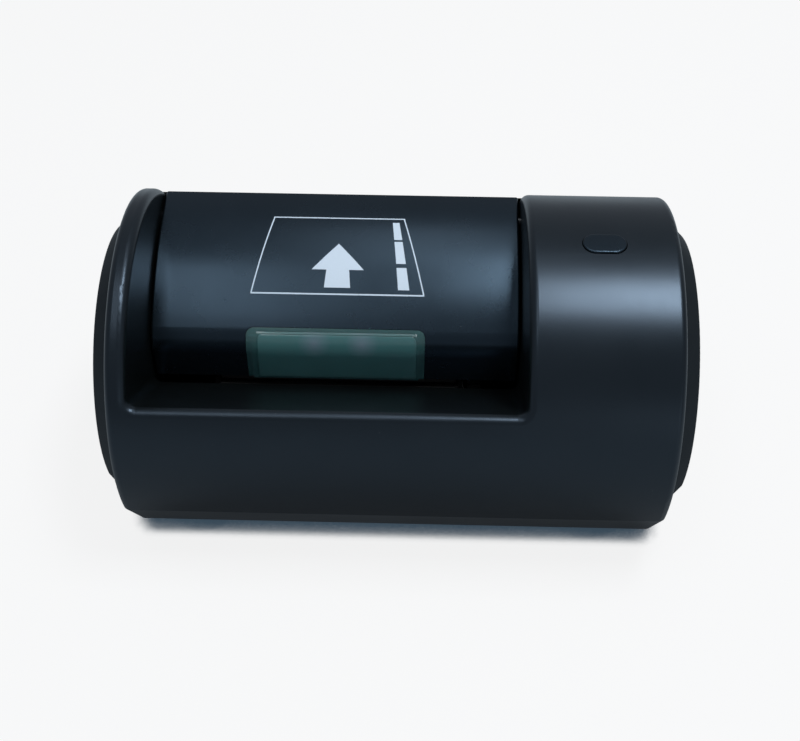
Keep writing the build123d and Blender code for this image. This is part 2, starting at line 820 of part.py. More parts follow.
with BuildPart() as upper_guide:
    with BuildSketch(Plane.YZ.offset(guide_left_x)):
        add(path_band(path_gap, path_gap + guide_wall, guide_front_y, guide_rear_y))
    extrude(amount=guide_width)
    for rib_index in range(rib_count):
        with BuildSketch(Plane.YZ.offset(guide_left_x + rib_index * rib_pitch)):
            add(path_band(path_gap, path_gap + guide_wall + guide_rib_height, guide_front_y, guide_rear_y))
        extrude(amount=guide_rib_width)
    # Posts up to the cover's bosses.
    with BuildPart(mode=Mode.PRIVATE) as guide_posts:
        with BuildSketch(Plane.XY.offset(path_z)):
            with Locations(cover_boss_places):
                Circle(cover_boss_radius)
        extrude(amount=cover_boss_z - path_z)
        with BuildSketch(Plane.YZ.offset(guide_left_x)):
            add(above_path(path_gap))
        extrude(amount=guide_width, mode=Mode.INTERSECT)
    add(guide_posts.part)
    with Locations([(x, y, 0) for x, y in cover_boss_places]):
        Cylinder(small_screw_radius + fit_gap, reach, mode=Mode.SUBTRACT)
    with Locations([(x, y, cover_boss_z - guide_screw_grip) for x, y in cover_boss_places]):
        Cylinder(2 * small_screw_radius + fit_gap, reach, align=hanging,
                 mode=Mode.SUBTRACT)
    # Windows for the pinch rollers, the platen roller and the pressure pad.
    for roller_x in roller_centers:
        with BuildSketch(Plane.YZ.offset(roller_x - roller_width / 2 - opening_clearance / 2)):
            with Locations(feed_pinch_axis):
                Circle(pinch_radius + roller_clearance)
        extrude(amount=roller_width + opening_clearance, mode=Mode.SUBTRACT)
    with BuildSketch(Plane.YZ.offset(path_left_x - 0.5)):
        with Locations(platen_axis):
            Circle(pinch_radius + roller_clearance)
    extrude(amount=path_width + 1, mode=Mode.SUBTRACT)
    with Locations((head_x, head_y, path_z)):
        Box(head_opening, head_opening, 4 * guide_rib_height, mode=Mode.SUBTRACT)
    # Bores for the two roller shafts.
    with BuildSketch(Plane.YZ.offset(guide_left_x)):
        with Locations(feed_pinch_axis, platen_axis):
            Circle(pinch_bore_radius)
    extrude(amount=guide_width, mode=Mode.SUBTRACT)
save(upper_guide.part, "upper_guide")


def shaft_along_x(axis, radius, left_x, right_x):
    """Plain round shaft along X."""
    with BuildPart() as shaft:
        with BuildSketch(Plane.YZ.offset(left_x)):
            with Locations(axis):
                Circle(radius)
        extrude(amount=right_x - left_x)
        chamfer(shaft.edges(), radius / 6)
    return shaft.part


def sleeves_along_x(axis, outer, bore, centers, width):
    """Sleeves of the given width, centred at each X in centers."""
    with BuildPart() as sleeves:
        for center_x in centers:
            with BuildSketch(Plane.YZ.offset(center_x - width / 2)):
                with Locations(axis):
                    Circle(outer)
                    Circle(bore, mode=Mode.SUBTRACT)
            extrude(amount=width)
    return sleeves.part


save(shaft_along_x(feed_pinch_axis, pinch_shaft_radius, guide_left_x, guide_right_x), "feed_pinch_shaft")
save(
    sleeves_along_x(feed_pinch_axis, pinch_radius, pinch_bore_radius, roller_centers, roller_width),
    "feed_pinch_rollers",
)
save(shaft_along_x(platen_axis, pinch_shaft_radius, guide_left_x, guide_right_x), "platen_shaft")
save(
    sleeves_along_x(platen_axis, pinch_radius, pinch_bore_radius, (path_center_x,), path_width),
    "platen_roller",
)

with BuildPart() as pressure_pad:
    with BuildSketch(Plane.YZ.offset(head_x - head_size / 2)):
        add(path_band(nip_gap, pad_top, head_y - head_size / 2, head_y + head_size / 2))
    extrude(amount=head_size)
save(pressure_pad.part, "pressure_pad")

with BuildPart() as pad_spring:
    with BuildSketch(Plane.YZ.offset(head_x - head_size / 2 + 1)):
        add(path_band(pad_top, pad_top + pad_spring_steel, head_y - head_size / 2, head_y + head_size))
    extrude(amount=head_size - 2)
save(pad_spring.part, "pad_spring")

guide_screws = pan_screws(
    [(x, y, cover_boss_z - guide_screw_grip) for x, y in cover_boss_places],
    True,
    small_screw_radius,
    guide_screw_length,
)
save(guide_screws, "guide_screws")

# ---- Lower guide and rear guide --------------------------------------------------------------
guide_rear_end_y = drum_radius - wall - fit_gap

with BuildPart() as lower_guide:
    with BuildSketch(Plane.YZ.offset(guide_left_x)):
        add(path_band(-guide_wall, 0, slot_y + fit_gap, guide_rear_end_y))
    extrude(amount=guide_width)
    # Ribs under the guide at its edges.
    for rib_x in (guide_left_x, guide_right_x - guide_rib_width):
        with BuildSketch(Plane.YZ.offset(rib_x)):
            add(path_band(-guide_wall - lower_rib_drop, 0, slot_y + lower_rib_lag, guide_rear_end_y))
        extrude(amount=guide_rib_width)
    for roller_x in roller_centers:
        with BuildSketch(Plane.YZ.offset(roller_x - roller_width / 2 - opening_clearance / 2)):
            with Locations(feed_axis):
                Circle(feed_radius + roller_clearance)
            with Locations(exit_axis):
                Circle(exit_radius + roller_clearance)
        extrude(amount=roller_width + opening_clearance, mode=Mode.SUBTRACT)
    with BuildSketch(Plane.YZ.offset(guide_left_x)):
        with Locations(feed_axis, exit_axis):
            Circle(feed_shaft_radius + roller_clearance)
    extrude(amount=guide_width, mode=Mode.SUBTRACT)
    with Locations((path_center_x, scan_y, path_z)):
        Box(path_width + 2 * fit_gap, scan_width + 2 * fit_gap, 4 * guide_wall, mode=Mode.SUBTRACT)
    with Locations((head_x, head_y, path_z)):
        Box(head_opening, head_opening, 6 * guide_wall, mode=Mode.SUBTRACT)
    with Locations((path_center_x, entry_sensor_y, path_z), (path_center_x, exit_sensor_y, path_z)):
        Cylinder(1.5, 12 * guide_wall, mode=Mode.SUBTRACT)
    # Pegs that hold the guide in both chassis plates.
    for peg_y in (guide_peg_front_y, guide_peg_rear_y):
        for peg_x, peg_reach in (
            (plate_left_x, guide_left_x - plate_left_x + guide_margin),
            (guide_right_x - guide_margin, plate_right_x + chassis_steel - guide_right_x + guide_margin),
        ):
            with BuildSketch(Plane.YZ.offset(peg_x)):
                with Locations((peg_y, path_height(peg_y) - guide_peg_radius - peg_clearance)):
                    Circle(guide_peg_radius)
            extrude(amount=peg_reach)
save(lower_guide.part, "lower_guide")

rear_peg = (exit_axis[0] - rear_peg_lead, path_z + path_gap + guide_wall + guide_peg_radius)

with BuildPart() as rear_guide:
    with BuildSketch(Plane.YZ.offset(guide_left_x)):
        add(path_band(path_gap, path_gap + guide_wall, rear_guide_y, guide_rear_end_y))
    extrude(amount=guide_width)
    for rib_index in range(rib_count):
        with BuildSketch(Plane.YZ.offset(guide_left_x + rib_index * rib_pitch)):
            add(path_band(path_gap, path_gap + guide_wall + guide_rib_height, rear_guide_y, guide_rear_end_y))
        extrude(amount=guide_rib_width)
    for roller_x in roller_centers:
        with BuildSketch(Plane.YZ.offset(roller_x - roller_width / 2 - opening_clearance / 2)):
            with Locations(exit_pinch_axis):
                Circle(pinch_radius + roller_clearance)
        extrude(amount=roller_width + opening_clearance, mode=Mode.SUBTRACT)
    with BuildSketch(Plane.YZ.offset(guide_left_x)):
        with Locations(exit_pinch_axis):
            Circle(pinch_bore_radius)
    extrude(amount=guide_width, mode=Mode.SUBTRACT)
    for peg_x, peg_reach in (
        (plate_left_x, guide_left_x - plate_left_x + guide_rib_width),
        (guide_right_x - guide_rib_width, plate_right_x + chassis_steel - guide_right_x + guide_rib_width),
    ):
        with BuildSketch(Plane.YZ.offset(peg_x)):
            with Locations(rear_peg):
                Circle(guide_peg_radius)
        extrude(amount=peg_reach)
save(rear_guide.part, "rear_guide")
save(shaft_along_x(exit_pinch_axis, pinch_shaft_radius, plate_left_x, plate_right_x + chassis_steel),
     "exit_pinch_shaft")
save(
    sleeves_along_x(exit_pinch_axis, pinch_radius, pinch_bore_radius, roller_centers, roller_width),
    "exit_pinch_rollers",
)

# ---- Chassis ---------------------------------------------------------------------------------
motor_screw_places = [(motor_axis[0] + side * motor_screw_spread, motor_axis[1]) for side in (-1, 1)]

for plate_x, foot_side, plate_name in (
    (plate_left_x, -1, "left_chassis_plate"),
    (plate_right_x, 1, "right_chassis_plate"),
):
    foot_x_start = plate_x if foot_side < 0 else plate_x + chassis_steel
    with BuildPart() as chassis_plate:
        with BuildSketch(Plane.YZ.offset(plate_x)) as plate_outline:
            with BuildLine():
                Polyline(
                    (chassis_front_y, chassis_foot_z),
                    (chassis_front_y, chassis_nose_z),
                    (slot_y - chassis_throat_lead, chassis_throat_z),
                    (slot_y + chassis_shoulder_lag, chassis_top_z - chassis_shoulder_drop),
                    (slot_y + chassis_top_lag, chassis_top_z),
                    (chassis_rear_y, chassis_top_z),
                    (chassis_rear_y, chassis_foot_z),
                    close=True,
                )
            make_face()
            fillet(plate_outline.vertices().group_by(Axis.X)[-1], chassis_corner_radius)
            with Locations(feed_axis, exit_axis):
                Circle(bush_radius, mode=Mode.SUBTRACT)
            with Locations(exit_pinch_axis):
                Circle(pinch_shaft_radius, mode=Mode.SUBTRACT)
            with Locations(rear_peg, *[(y, path_height(y) - guide_peg_radius - peg_clearance)
                                       for y in (guide_peg_front_y, guide_peg_rear_y)]):
                Circle(guide_peg_radius + running_gap, mode=Mode.SUBTRACT)
            if foot_side > 0:
                with Locations(motor_axis):
                    Circle(motor_boss_radius, mode=Mode.SUBTRACT)
                with Locations(motor_screw_places):
                    Circle(small_screw_radius, mode=Mode.SUBTRACT)
                with Locations(idler_axis):
                    Circle(idler_stud_radius, mode=Mode.SUBTRACT)
                with Locations((scan_y, chassis_foot_z)):
                    Rectangle(cable_pass_width, 2 * cable_pass_height, mode=Mode.SUBTRACT)
        extrude(amount=chassis_steel)
        with BuildSketch(Plane.XY.offset(chassis_foot_z)):
            with Locations((foot_x_start + foot_side * chassis_foot_width / 2, 0)):
                Rectangle(chassis_foot_width, reach)
            with Locations((0, (chassis_foot_front_y + chassis_foot_rear_y) / 2)):
                Rectangle(reach, chassis_foot_rear_y - chassis_foot_front_y, mode=Mode.INTERSECT)
            with Locations((0, scan_y)):
                Rectangle(reach, cable_pass_width, mode=Mode.SUBTRACT)
            with Locations(chassis_screw_places):
                Circle(small_screw_radius + fit_gap, mode=Mode.SUBTRACT)
        extrude(amount=chassis_steel)
    save(chassis_plate.part, plate_name)

with BuildPart() as tie_bars:
    for tie in (tie_front, tie_rear):
        with BuildSketch(Plane.YZ.offset(plate_left_x + chassis_steel)):
            with Locations(tie):
                RegularPolygon(tie_bar_radius, 6)
        extrude(amount=plate_right_x - plate_left_x - chassis_steel)
save(tie_bars.part, "tie_bars")

with BuildPart() as shaft_bushes:
    for plate_x, outward in ((plate_left_x, -1), (plate_right_x, 1)):
        flange_x = plate_x - bush_flange if outward < 0 else plate_x + chassis_steel
        for axis, bore in ((feed_axis, feed_shaft_radius), (exit_axis, exit_shaft_radius)):
            with BuildSketch(Plane.YZ.offset(plate_x)):
                with Locations(axis):
                    Circle(bush_radius)
            extrude(amount=chassis_steel)
            with BuildSketch(Plane.YZ.offset(flange_x)):
                with Locations(axis):
                    Circle(bush_flange_radius)
            extrude(amount=bush_flange)
            with BuildSketch(Plane.YZ.offset(plate_x - bush_flange)):
                with Locations(axis):
                    Circle(bore + running_gap)
            extrude(amount=chassis_steel + 2 * bush_flange, mode=Mode.SUBTRACT)
save(shaft_bushes.part, "shaft_bushes")

# ---- Gear train ------------------------------------------------------------------------------


def involute(angle):
    """Involute function of a pressure angle in radians."""
    return tan(angle) - angle


def gear_outline(teeth, tooth_angle):
    """Corner points of a spur gear; tooth_angle (degrees) is the direction of one tooth."""
    pitch_radius = gear_module * teeth / 2
    base_radius = pitch_radius * cos(radians(pressure_angle))
    root_radius = pitch_radius - 1.25 * gear_module
    tip_radius = pitch_radius + 0.95 * gear_module
    half_at_pitch = pi / (2 * teeth) - gear_backlash / (4 * pitch_radius)
    points = []
    for tooth in range(teeth):
        middle = radians(tooth_angle) + 2 * pi * tooth / teeth
        flank = []
        for radius in (root_radius, pitch_radius, tip_radius):
            local_angle = acos(min(1, base_radius / radius))
            half = half_at_pitch + involute(radians(pressure_angle)) - involute(local_angle)
            flank.append((radius, half))
        points += [(r * cos(middle - half), r * sin(middle - half)) for r, half in flank]
        points += [(r * cos(middle + half), r * sin(middle + half)) for r, half in reversed(flank)]
    return points


def meshing_angle(tooth_angle, teeth, other_teeth, direction):
    """Tooth direction of a gear that meshes with one whose tooth_angle and teeth are given."""
    share = (direction - tooth_angle) * teeth / 360
    return direction + 180 - 360 / other_teeth * (0.5 - share)


def spur_gear(axis, teeth, tooth_angle, bore):
    """Moulded gear with a hub, a thin web and round lightening holes where there is room."""
    pitch_radius = gear_module * teeth / 2
    with BuildPart() as gear:
        with BuildSketch(Plane.YZ.offset(gear_x)):
            with Locations(axis):
                Polygon(*gear_outline(teeth, tooth_angle), align=None)
                Circle(bore, mode=Mode.SUBTRACT)
        extrude(amount=gear_width)
        if pitch_radius > 4 * bore:
            for face_x, inward in ((gear_x, 1), (gear_x + gear_width, -1)):
                with BuildSketch(Plane.YZ.offset(face_x)):
                    with Locations(axis):
                        Circle(pitch_radius - gear_rim)
                        Circle(bore + gear_hub_wall, mode=Mode.SUBTRACT)
                extrude(amount=inward * gear_width * 0.3, mode=Mode.SUBTRACT)
            web_width = pitch_radius - gear_rim - bore - gear_hub_wall
            hole_circle = bore + gear_hub_wall + web_width / 2
            with BuildSketch(Plane.YZ.offset(gear_x)):
                with Locations(axis):
                    with PolarLocations(hole_circle, gear_hole_count):
                        Circle(web_width / 3.4)
            extrude(amount=gear_width, mode=Mode.SUBTRACT)
    return gear.part


feed_tooth = 0.0
pinion_tooth = meshing_angle(feed_tooth, feed_teeth, pinion_teeth, motor_angle)
idler_tooth = meshing_angle(feed_tooth, feed_teeth, idler_teeth, train_angle)
exit_tooth = meshing_angle(idler_tooth, idler_teeth, exit_teeth, train_angle)

save(spur_gear(feed_axis, feed_teeth, feed_tooth, feed_shaft_radius), "feed_gear")
save(spur_gear(idler_axis, idler_teeth, idler_tooth, idler_stud_radius + running_gap), "idler_gear")
save(spur_gear(exit_axis, exit_teeth, exit_tooth, exit_shaft_radius), "exit_gear")
save(spur_gear(motor_axis, pinion_teeth, pinion_tooth, motor_shaft_radius), "motor_pinion")
save(shaft_along_x(feed_axis, feed_shaft_radius, shaft_left_x, shaft_right_x), "feed_shaft")
save(shaft_along_x(exit_axis, exit_shaft_radius, shaft_left_x, shaft_right_x), "exit_shaft")
save(sleeves_along_x(feed_axis, feed_radius, feed_shaft_radius, roller_centers, roller_width), "feed_rollers")
save(sleeves_along_x(exit_axis, exit_radius, exit_shaft_radius, roller_centers, roller_width), "exit_rollers")

with BuildPart() as idler_stud:
    with BuildSketch(Plane.YZ.offset(plate_right_x)):
        with Locations(idler_axis):
            Circle(idler_stud_radius)
    extrude(amount=gear_x + gear_width + fit_gap - plate_right_x)
    with BuildSketch(Plane.YZ.offset(gear_x + gear_width + fit_gap)):
        with Locations(idler_axis):
            Circle(stud_head_radius)
    extrude(amount=clip_thickness)
    with BuildSketch(Plane.YZ.offset(plate_right_x + chassis_steel)):
        with Locations(idler_axis):
            Circle(stud_head_radius)
    extrude(amount=gear_side_gap - fit_gap)
save(idler_stud.part, "idler_stud")

for axis, bore, clip_name in (
    (feed_axis, feed_shaft_radius, "feed_clips"),
    (exit_axis, exit_shaft_radius, "exit_clips"),
):
    with BuildPart() as clips:
        for clip_x in (plate_left_x - bush_flange - clip_thickness - fit_gap, gear_x + gear_width):
            with BuildSketch(Plane.YZ.offset(clip_x)):
                with Locations(axis):
                    Circle(bore + clip_width)
                    Circle(bore, mode=Mode.SUBTRACT)
            extrude(amount=clip_thickness)
    save(clips.part, clip_name)

# ---- Motor -----------------------------------------------------------------------------------
motor_shaft_end_x = gear_x + gear_width + 0.5

with BuildPart() as drive_motor:
    with BuildSketch(Plane.YZ.offset(plate_right_x - motor_length)):
        with Locations(motor_axis):
            Circle(motor_radius)
    extrude(amount=motor_length)
    chamfer(drive_motor.faces().sort_by(Axis.X)[0].edges(), motor_chamfer)
    with BuildSketch(Plane.YZ.offset(plate_right_x - motor_flange)):
        with Locations(motor_axis):
            SlotOverall(2 * motor_screw_spread + motor_ear_width, motor_ear_width)
    extrude(amount=motor_flange)
    with BuildSketch(Plane.YZ.offset(plate_right_x)):
        with Locations(motor_axis):
            Circle(motor_boss_radius - running_gap)
    extrude(amount=chassis_steel)
    with BuildSketch(Plane.YZ.offset(plate_right_x + chassis_steel)):
        with Locations(motor_axis):
            Circle(motor_shaft_radius + running_gap)
    extrude(amount=-motor_shaft_depth - 1, mode=Mode.SUBTRACT)
    with BuildSketch(Plane.YZ.offset(plate_right_x)):
        with Locations(motor_screw_places):
            Circle(small_screw_radius)
    extrude(amount=-motor_flange, mode=Mode.SUBTRACT)
save(drive_motor.part, "drive_motor")
motor_shaft_start_x = plate_right_x + chassis_steel - motor_shaft_depth
save(shaft_along_x(motor_axis, motor_shaft_radius, motor_shaft_start_x, motor_shaft_end_x), "motor_shaft")

with BuildPart() as motor_screws:
    with BuildSketch(Plane.YZ.offset(plate_right_x + chassis_steel)):
        with Locations(motor_screw_places):
            Circle(2 * small_screw_radius)
    extrude(amount=motor_screw_head)
    with BuildSketch(Plane.YZ.offset(plate_right_x - 2 * motor_flange)):
        with Locations(motor_screw_places):
            Circle(small_screw_radius)
    extrude(amount=chassis_steel + 2 * motor_flange)
save(motor_screws.part, "motor_screws")

# ---- Sensors on the path ---------------------------------------------------------------------
scan_top_z = path_z - path_flush_gap

with BuildPart() as image_sensor:
    with Locations((path_center_x, scan_y, scan_top_z - scan_glass)):
        Box(path_width, scan_width, scan_height - scan_glass, align=hanging)
    with Locations((path_center_x, scan_y, scan_top_z - scan_glass)):
        Box(
            path_width - 2 * scan_side_wall,
            scan_width - 2 * scan_edge_wall,
            scan_pocket_depth,
            align=hanging,
            mode=Mode.SUBTRACT,
        )
save(image_sensor.part, "image_sensor")

with BuildPart() as sensor_glass:
    with Locations((path_center_x, scan_y, scan_top_z)):
        Box(path_width, scan_width, scan_glass, align=hanging)
save(sensor_glass.part, "sensor_glass")

with BuildPart() as sensor_brackets:
    for bracket_x, bracket_reach in (
        (plate_left_x + chassis_steel, path_left_x - plate_left_x - chassis_steel),
        (path_right_x, plate_right_x - path_right_x),
    ):
        with BuildSketch(Plane.YZ.offset(bracket_x)):
            with Locations((scan_y, scan_top_z - scan_height + scan_bracket_height / 2)):
                Rectangle(scan_width - 2 * scan_bracket_inset, scan_bracket_height)
        extrude(amount=bracket_reach)
save(sensor_brackets.part, "sensor_brackets")

with BuildPart() as read_head:
    with BuildSketch(Plane.YZ.offset(head_x - head_size / 2)):
        add(path_band(-head_height, -path_flush_gap, head_y - head_size / 2, head_y + head_size / 2))
    extrude(amount=head_size)
    fillet(read_head.edges().filter_by(Axis.X).group_by(Axis.Z)[-1], head_rounding)
save(read_head.part, "read_head")

bracket_front_y = head_y - head_size / 2 - head_bracket_margin
bracket_rear_y = head_y + head_size / 2 + head_bracket_margin
with BuildPart() as head_bracket:
    with BuildSketch(Plane.YZ.offset(head_x - head_size / 2)):
        add(path_band(-head_height - head_bracket_steel, -guide_wall, bracket_front_y, bracket_rear_y))
        add(
            path_band(
                -head_height,
                -guide_wall,
                bracket_front_y + head_bracket_steel,
                bracket_rear_y - head_bracket_steel,
            ),
            mode=Mode.SUBTRACT,
        )
    extrude(amount=head_size)
save(head_bracket.part, "head_bracket")

with BuildPart() as head_magnet:
    with BuildSketch(Plane.YZ.offset(head_x - head_size / 2)):
        add(
            path_band(
                -guide_wall - magnet_height,
                -guide_wall,
                bracket_front_y - magnet_depth,
                bracket_front_y,
            )
        )
    extrude(amount=head_size)
save(head_magnet.part, "head_magnet")

with BuildPart() as path_sensors:
    for sensor_y in (entry_sensor_y, exit_sensor_y):
        with BuildSketch(Plane.YZ.offset(path_center_x - sensor_size / 2)):
            add(path_band(-guide_wall - sensor_height, -guide_wall, sensor_y - sensor_size / 2,
                          sensor_y + sensor_size / 2))
        extrude(amount=sensor_size)
save(path_sensors.part, "path_sensors")

# ---- Main board and connectors ---------------------------------------------------------------
board_width = main_board_right - main_board_left
board_middle = ((main_board_left + main_board_right) / 2, (main_board_front + main_board_rear) / 2)
connector_rear_y = drum_radius - fit_gap
lead_socket = (main_board_left + lead_socket_inset, lead_socket_y)
scan_socket = (main_board_left + scan_socket_inset, scan_y)
key_socket = (main_board_right - key_socket_inset, key_y)

with BuildPart() as main_board:
    with Locations((*board_middle, main_board_z)):
        Box(board_width, main_board_rear - main_board_front, board_thickness, align=standing)
    with Locations([(x, y, main_board_z) for x, y in board_screw_places]):
        Cylinder(small_screw_radius + fit_gap, board_thickness, align=standing, mode=Mode.SUBTRACT)
save(main_board.part, "main_board")

with BuildPart() as board_parts:
    with Locations((board_middle[0], processor_y, board_top_z)):
        Box(processor_size, processor_size, processor_height, align=standing)
    with Locations([(board_middle[0] + side * memory_pitch / 2, memory_y, board_top_z) for side in (-1, 1)]):
        Box(memory_width, memory_depth, memory_height, align=standing)
    with Locations([(board_middle[0] + step * capacitor_pitch, capacitor_y, board_top_z) for step in (0, 1)]):
        Cylinder(capacitor_radius, capacitor_height, align=standing)
    with Locations((*lead_socket, board_top_z)):
        Box(lead_header_width, lead_header_depth, lead_header_height, align=standing)
    with Locations((*scan_socket, board_top_z)):
        Box(header_width, scan_header_depth, header_height, align=standing)
    with Locations((*key_socket, board_top_z)):
        Box(header_width, key_header_depth, header_height, align=standing)
save(board_parts.part, "board_parts")

jack_middle = (jack_x, board_top_z + jack_height / 2)
with BuildPart() as jack_shell:
    with Locations((jack_x, connector_rear_y, board_top_z)):
        Box(jack_width, connector_depth, jack_height, align=(Align.CENTER, Align.MAX, Align.MIN))
    with BuildSketch(Plane.XZ.offset(-connector_rear_y)):
        with Locations(jack_middle):
            Circle(jack_bore_radius)
    extrude(amount=jack_bore_depth, mode=Mode.SUBTRACT)

# The centre pin is a solid of its own that stands on the bore's floor.
with BuildPart() as jack_pin:
    with BuildSketch(Plane.XZ.offset(jack_bore_depth - connector_rear_y)):
        with Locations(jack_middle):
            Circle(jack_pin_radius)
    extrude(amount=-jack_pin_length)
power_jack = Compound(jack_shell.part.solids() + jack_pin.part.solids())
save(power_jack, "power_jack")

with BuildPart() as data_socket:
    with Locations((socket_x, connector_rear_y, board_top_z)):
        Box(socket_width, connector_depth, socket_height, align=(Align.CENTER, Align.MAX, Align.MIN))
    with Locations((socket_x, connector_rear_y, board_top_z + socket_height / 2)):
        Box(socket_mouth_width, socket_mouth_depth, socket_mouth_height,
            align=(Align.CENTER, Align.MAX, Align.CENTER), mode=Mode.SUBTRACT)
    with Locations((socket_x, connector_rear_y, board_top_z + (socket_height - socket_mouth_height) / 2)):
        Box(
            socket_mouth_width / 2,
            socket_mouth_depth,
            socket_latch_depth,
            align=(Align.CENTER, Align.MAX, Align.MAX),
            mode=Mode.SUBTRACT,
        )
save(data_socket.part, "data_socket")

# ---- Status key, its switch, lamp and board --------------------------------------------------
switch_top_z = key_board_top_z + switch_height
stem_bottom_z = switch_top_z + key_travel + fit_gap

with BuildPart() as status_key:
    with BuildSketch(Plane.XY.offset(key_flange_top_z)):
        with Locations((key_x, key_y)):
            SlotOverall(key_length, key_width)
    extrude(amount=3 * wall)
    with BuildSketch(Plane.YZ.offset(key_x - key_length)):
        with Locations(drum_axis):
            Circle(drum_radius + key_proud)
    extrude(amount=2 * key_length, mode=Mode.INTERSECT)
    fillet(status_key.faces().sort_by(Axis.Z)[-1].edges(), key_proud * 0.8)
    with BuildSketch(Plane.XY.offset(key_flange_top_z)):
        with Locations((key_x, key_y)):
            SlotOverall(key_length + 2 * key_flange, key_width + 2 * key_flange)
    extrude(amount=-key_flange)
    with BuildSketch(Plane.XY.offset(key_flange_top_z - key_flange)):
        with Locations((key_x, key_y)):
            Circle(key_stem_radius)
    extrude(amount=stem_bottom_z - key_flange_top_z + key_flange)
save(status_key.part, "status_key")

with BuildPart() as key_board:
    with Locations((key_x, key_y, key_board_z)):
        Box(
            key_post_spread + 2 * key_post_radius,
            key_width + 2 * key_board_margin,
            board_thickness,
            align=standing,
        )
    with Locations([(x, y, key_board_z) for x, y in key_post_places]):
        Cylinder(key_screw_radius + fit_gap, board_thickness, align=standing, mode=Mode.SUBTRACT)
save(key_board.part, "key_board")

key_board_screws = pan_screws(
    [(x, y, key_board_z) for x, y in key_post_places], True, key_screw_radius, key_screw_length
)
save(key_board_screws, "key_board_screws")

with BuildPart() as key_switch:
    with Locations((key_x, key_y, key_board_top_z)):
        Box(switch_size, switch_size, switch_height, align=standing)
    with Locations((key_x, key_y, switch_top_z)):
        Cylinder(plunger_radius + running_gap, switch_height - switch_floor, align=hanging,
                 mode=Mode.SUBTRACT)
save(key_switch.part, "key_switch")

with BuildPart() as switch_plunger:
    with Locations((key_x, key_y, stem_bottom_z)):
        Cylinder(plunger_radius, switch_height - switch_floor, align=hanging)
save(switch_plunger.part, "switch_plunger")

with BuildPart() as status_lamp:
    with Locations((key_x - key_length / 3, key_y, key_board_top_z)):
        Cylinder(lamp_radius, lamp_height, align=standing)
    chamfer(status_lamp.faces().sort_by(Axis.Z)[-1].edges(), lamp_chamfer)
save(status_lamp.part, "status_lamp")

# ---- Cables inside the housing ---------------------------------------------------------------


def ribbon(points, bend_radius, middle_y):
    """Flat cable whose middle follows points in the front view, across middle_y."""
    with BuildPart() as cable:
        with BuildSketch(Plane.XZ.offset(-middle_y - ribbon_width / 2)):
            with BuildLine() as run:
                FilletPolyline(*points, radius=bend_radius)
            trace(run.line, line_width=ribbon_thickness)
        extrude(amount=ribbon_width)
    return cable.part


save(
    ribbon(
        [
            (path_center_x + scan_cable_shift, scan_top_z - scan_height),
            (path_center_x + scan_cable_shift, floor_z + scan_cable_lift),
            (recess_right_x - scan_cable_rise_lead, floor_z + scan_cable_lift),
            (recess_right_x - scan_cable_rise_lead + scan_cable_rise, board_top_z + scan_cable_board_lift),
            (scan_socket[0] - scan_cable_reach - ribbon_thickness, board_top_z + scan_cable_board_lift),
        ],
        scan_cable_bend,
        scan_y,
    ),
    "scan_cable",
)
save(
    ribbon(
        [
            (key_socket[0], key_board_z),
            (key_socket[0], key_cable_high_z),
            (key_socket[0] + key_cable_bow, key_cable_middle_z),
            (key_socket[0], key_cable_low_z),
            (key_socket[0], board_top_z + header_lift),
        ],
        key_cable_bend,
        key_y,
    ),
    "key_cable",
)

motor_rear_x = plate_right_x - motor_length
with BuildPart() as motor_lead:
    with BuildLine() as lead_run:
        FilletPolyline(
            (motor_rear_x, motor_axis[0], motor_axis[1]),
            (motor_rear_x - lead_tail, motor_axis[0], motor_axis[1]),
            (motor_rear_x - lead_tail, motor_axis[0] - lead_swing, floor_z + lead_lift),
            (recess_right_x - lead_inset, motor_axis[0] - lead_swing, floor_z + lead_lift),
            (recess_right_x - lead_inset, lead_socket[1], board_top_z + header_lift),
            (lead_socket[0] - lead_reach, lead_socket[1], board_top_z + header_lift),
            radius=lead_bend_radius,
        )
    with BuildSketch(Plane(origin=lead_run.line @ 0, z_dir=lead_run.line % 0)):
        Circle(lead_radius)
    sweep()
save(motor_lead.part, "motor_lead")
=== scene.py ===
import json
import math

import bmesh
import bpy
from mathutils import Matrix, Vector


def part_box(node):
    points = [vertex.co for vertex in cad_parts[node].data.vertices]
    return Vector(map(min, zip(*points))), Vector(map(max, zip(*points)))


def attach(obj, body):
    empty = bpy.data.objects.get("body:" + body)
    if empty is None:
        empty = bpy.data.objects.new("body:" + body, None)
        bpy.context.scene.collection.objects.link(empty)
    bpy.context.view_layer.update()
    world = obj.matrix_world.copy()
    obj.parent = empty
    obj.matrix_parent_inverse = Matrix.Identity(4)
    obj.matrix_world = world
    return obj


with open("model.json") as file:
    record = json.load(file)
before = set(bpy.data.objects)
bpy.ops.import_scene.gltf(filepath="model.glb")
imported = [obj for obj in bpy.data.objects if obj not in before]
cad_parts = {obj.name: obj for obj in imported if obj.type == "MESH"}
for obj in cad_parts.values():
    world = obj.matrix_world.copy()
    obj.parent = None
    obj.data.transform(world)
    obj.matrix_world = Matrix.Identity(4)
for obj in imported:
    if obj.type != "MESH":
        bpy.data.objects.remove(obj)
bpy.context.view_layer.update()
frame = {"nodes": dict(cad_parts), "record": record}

# Desktop cheque scanner. Everything is in metres, in the frame of the CAD model: +X right, +Y back, +Z up.
MM = 0.001

# ---- Places read from the frame --------------------------------------------------------------
# A ray that looks for a surface starts this far outside the housing.
RAY_LEAD = 50 * MM

record = frame["record"]
nodes = frame["nodes"]
body_low, body_high = (Vector(corner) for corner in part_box("upper_housing"))
drum_radius = (body_high.y - body_low.y) / 2
drum_axis_z = body_high.z - drum_radius
drum_middle = Vector((0.0, 0.0, drum_axis_z))

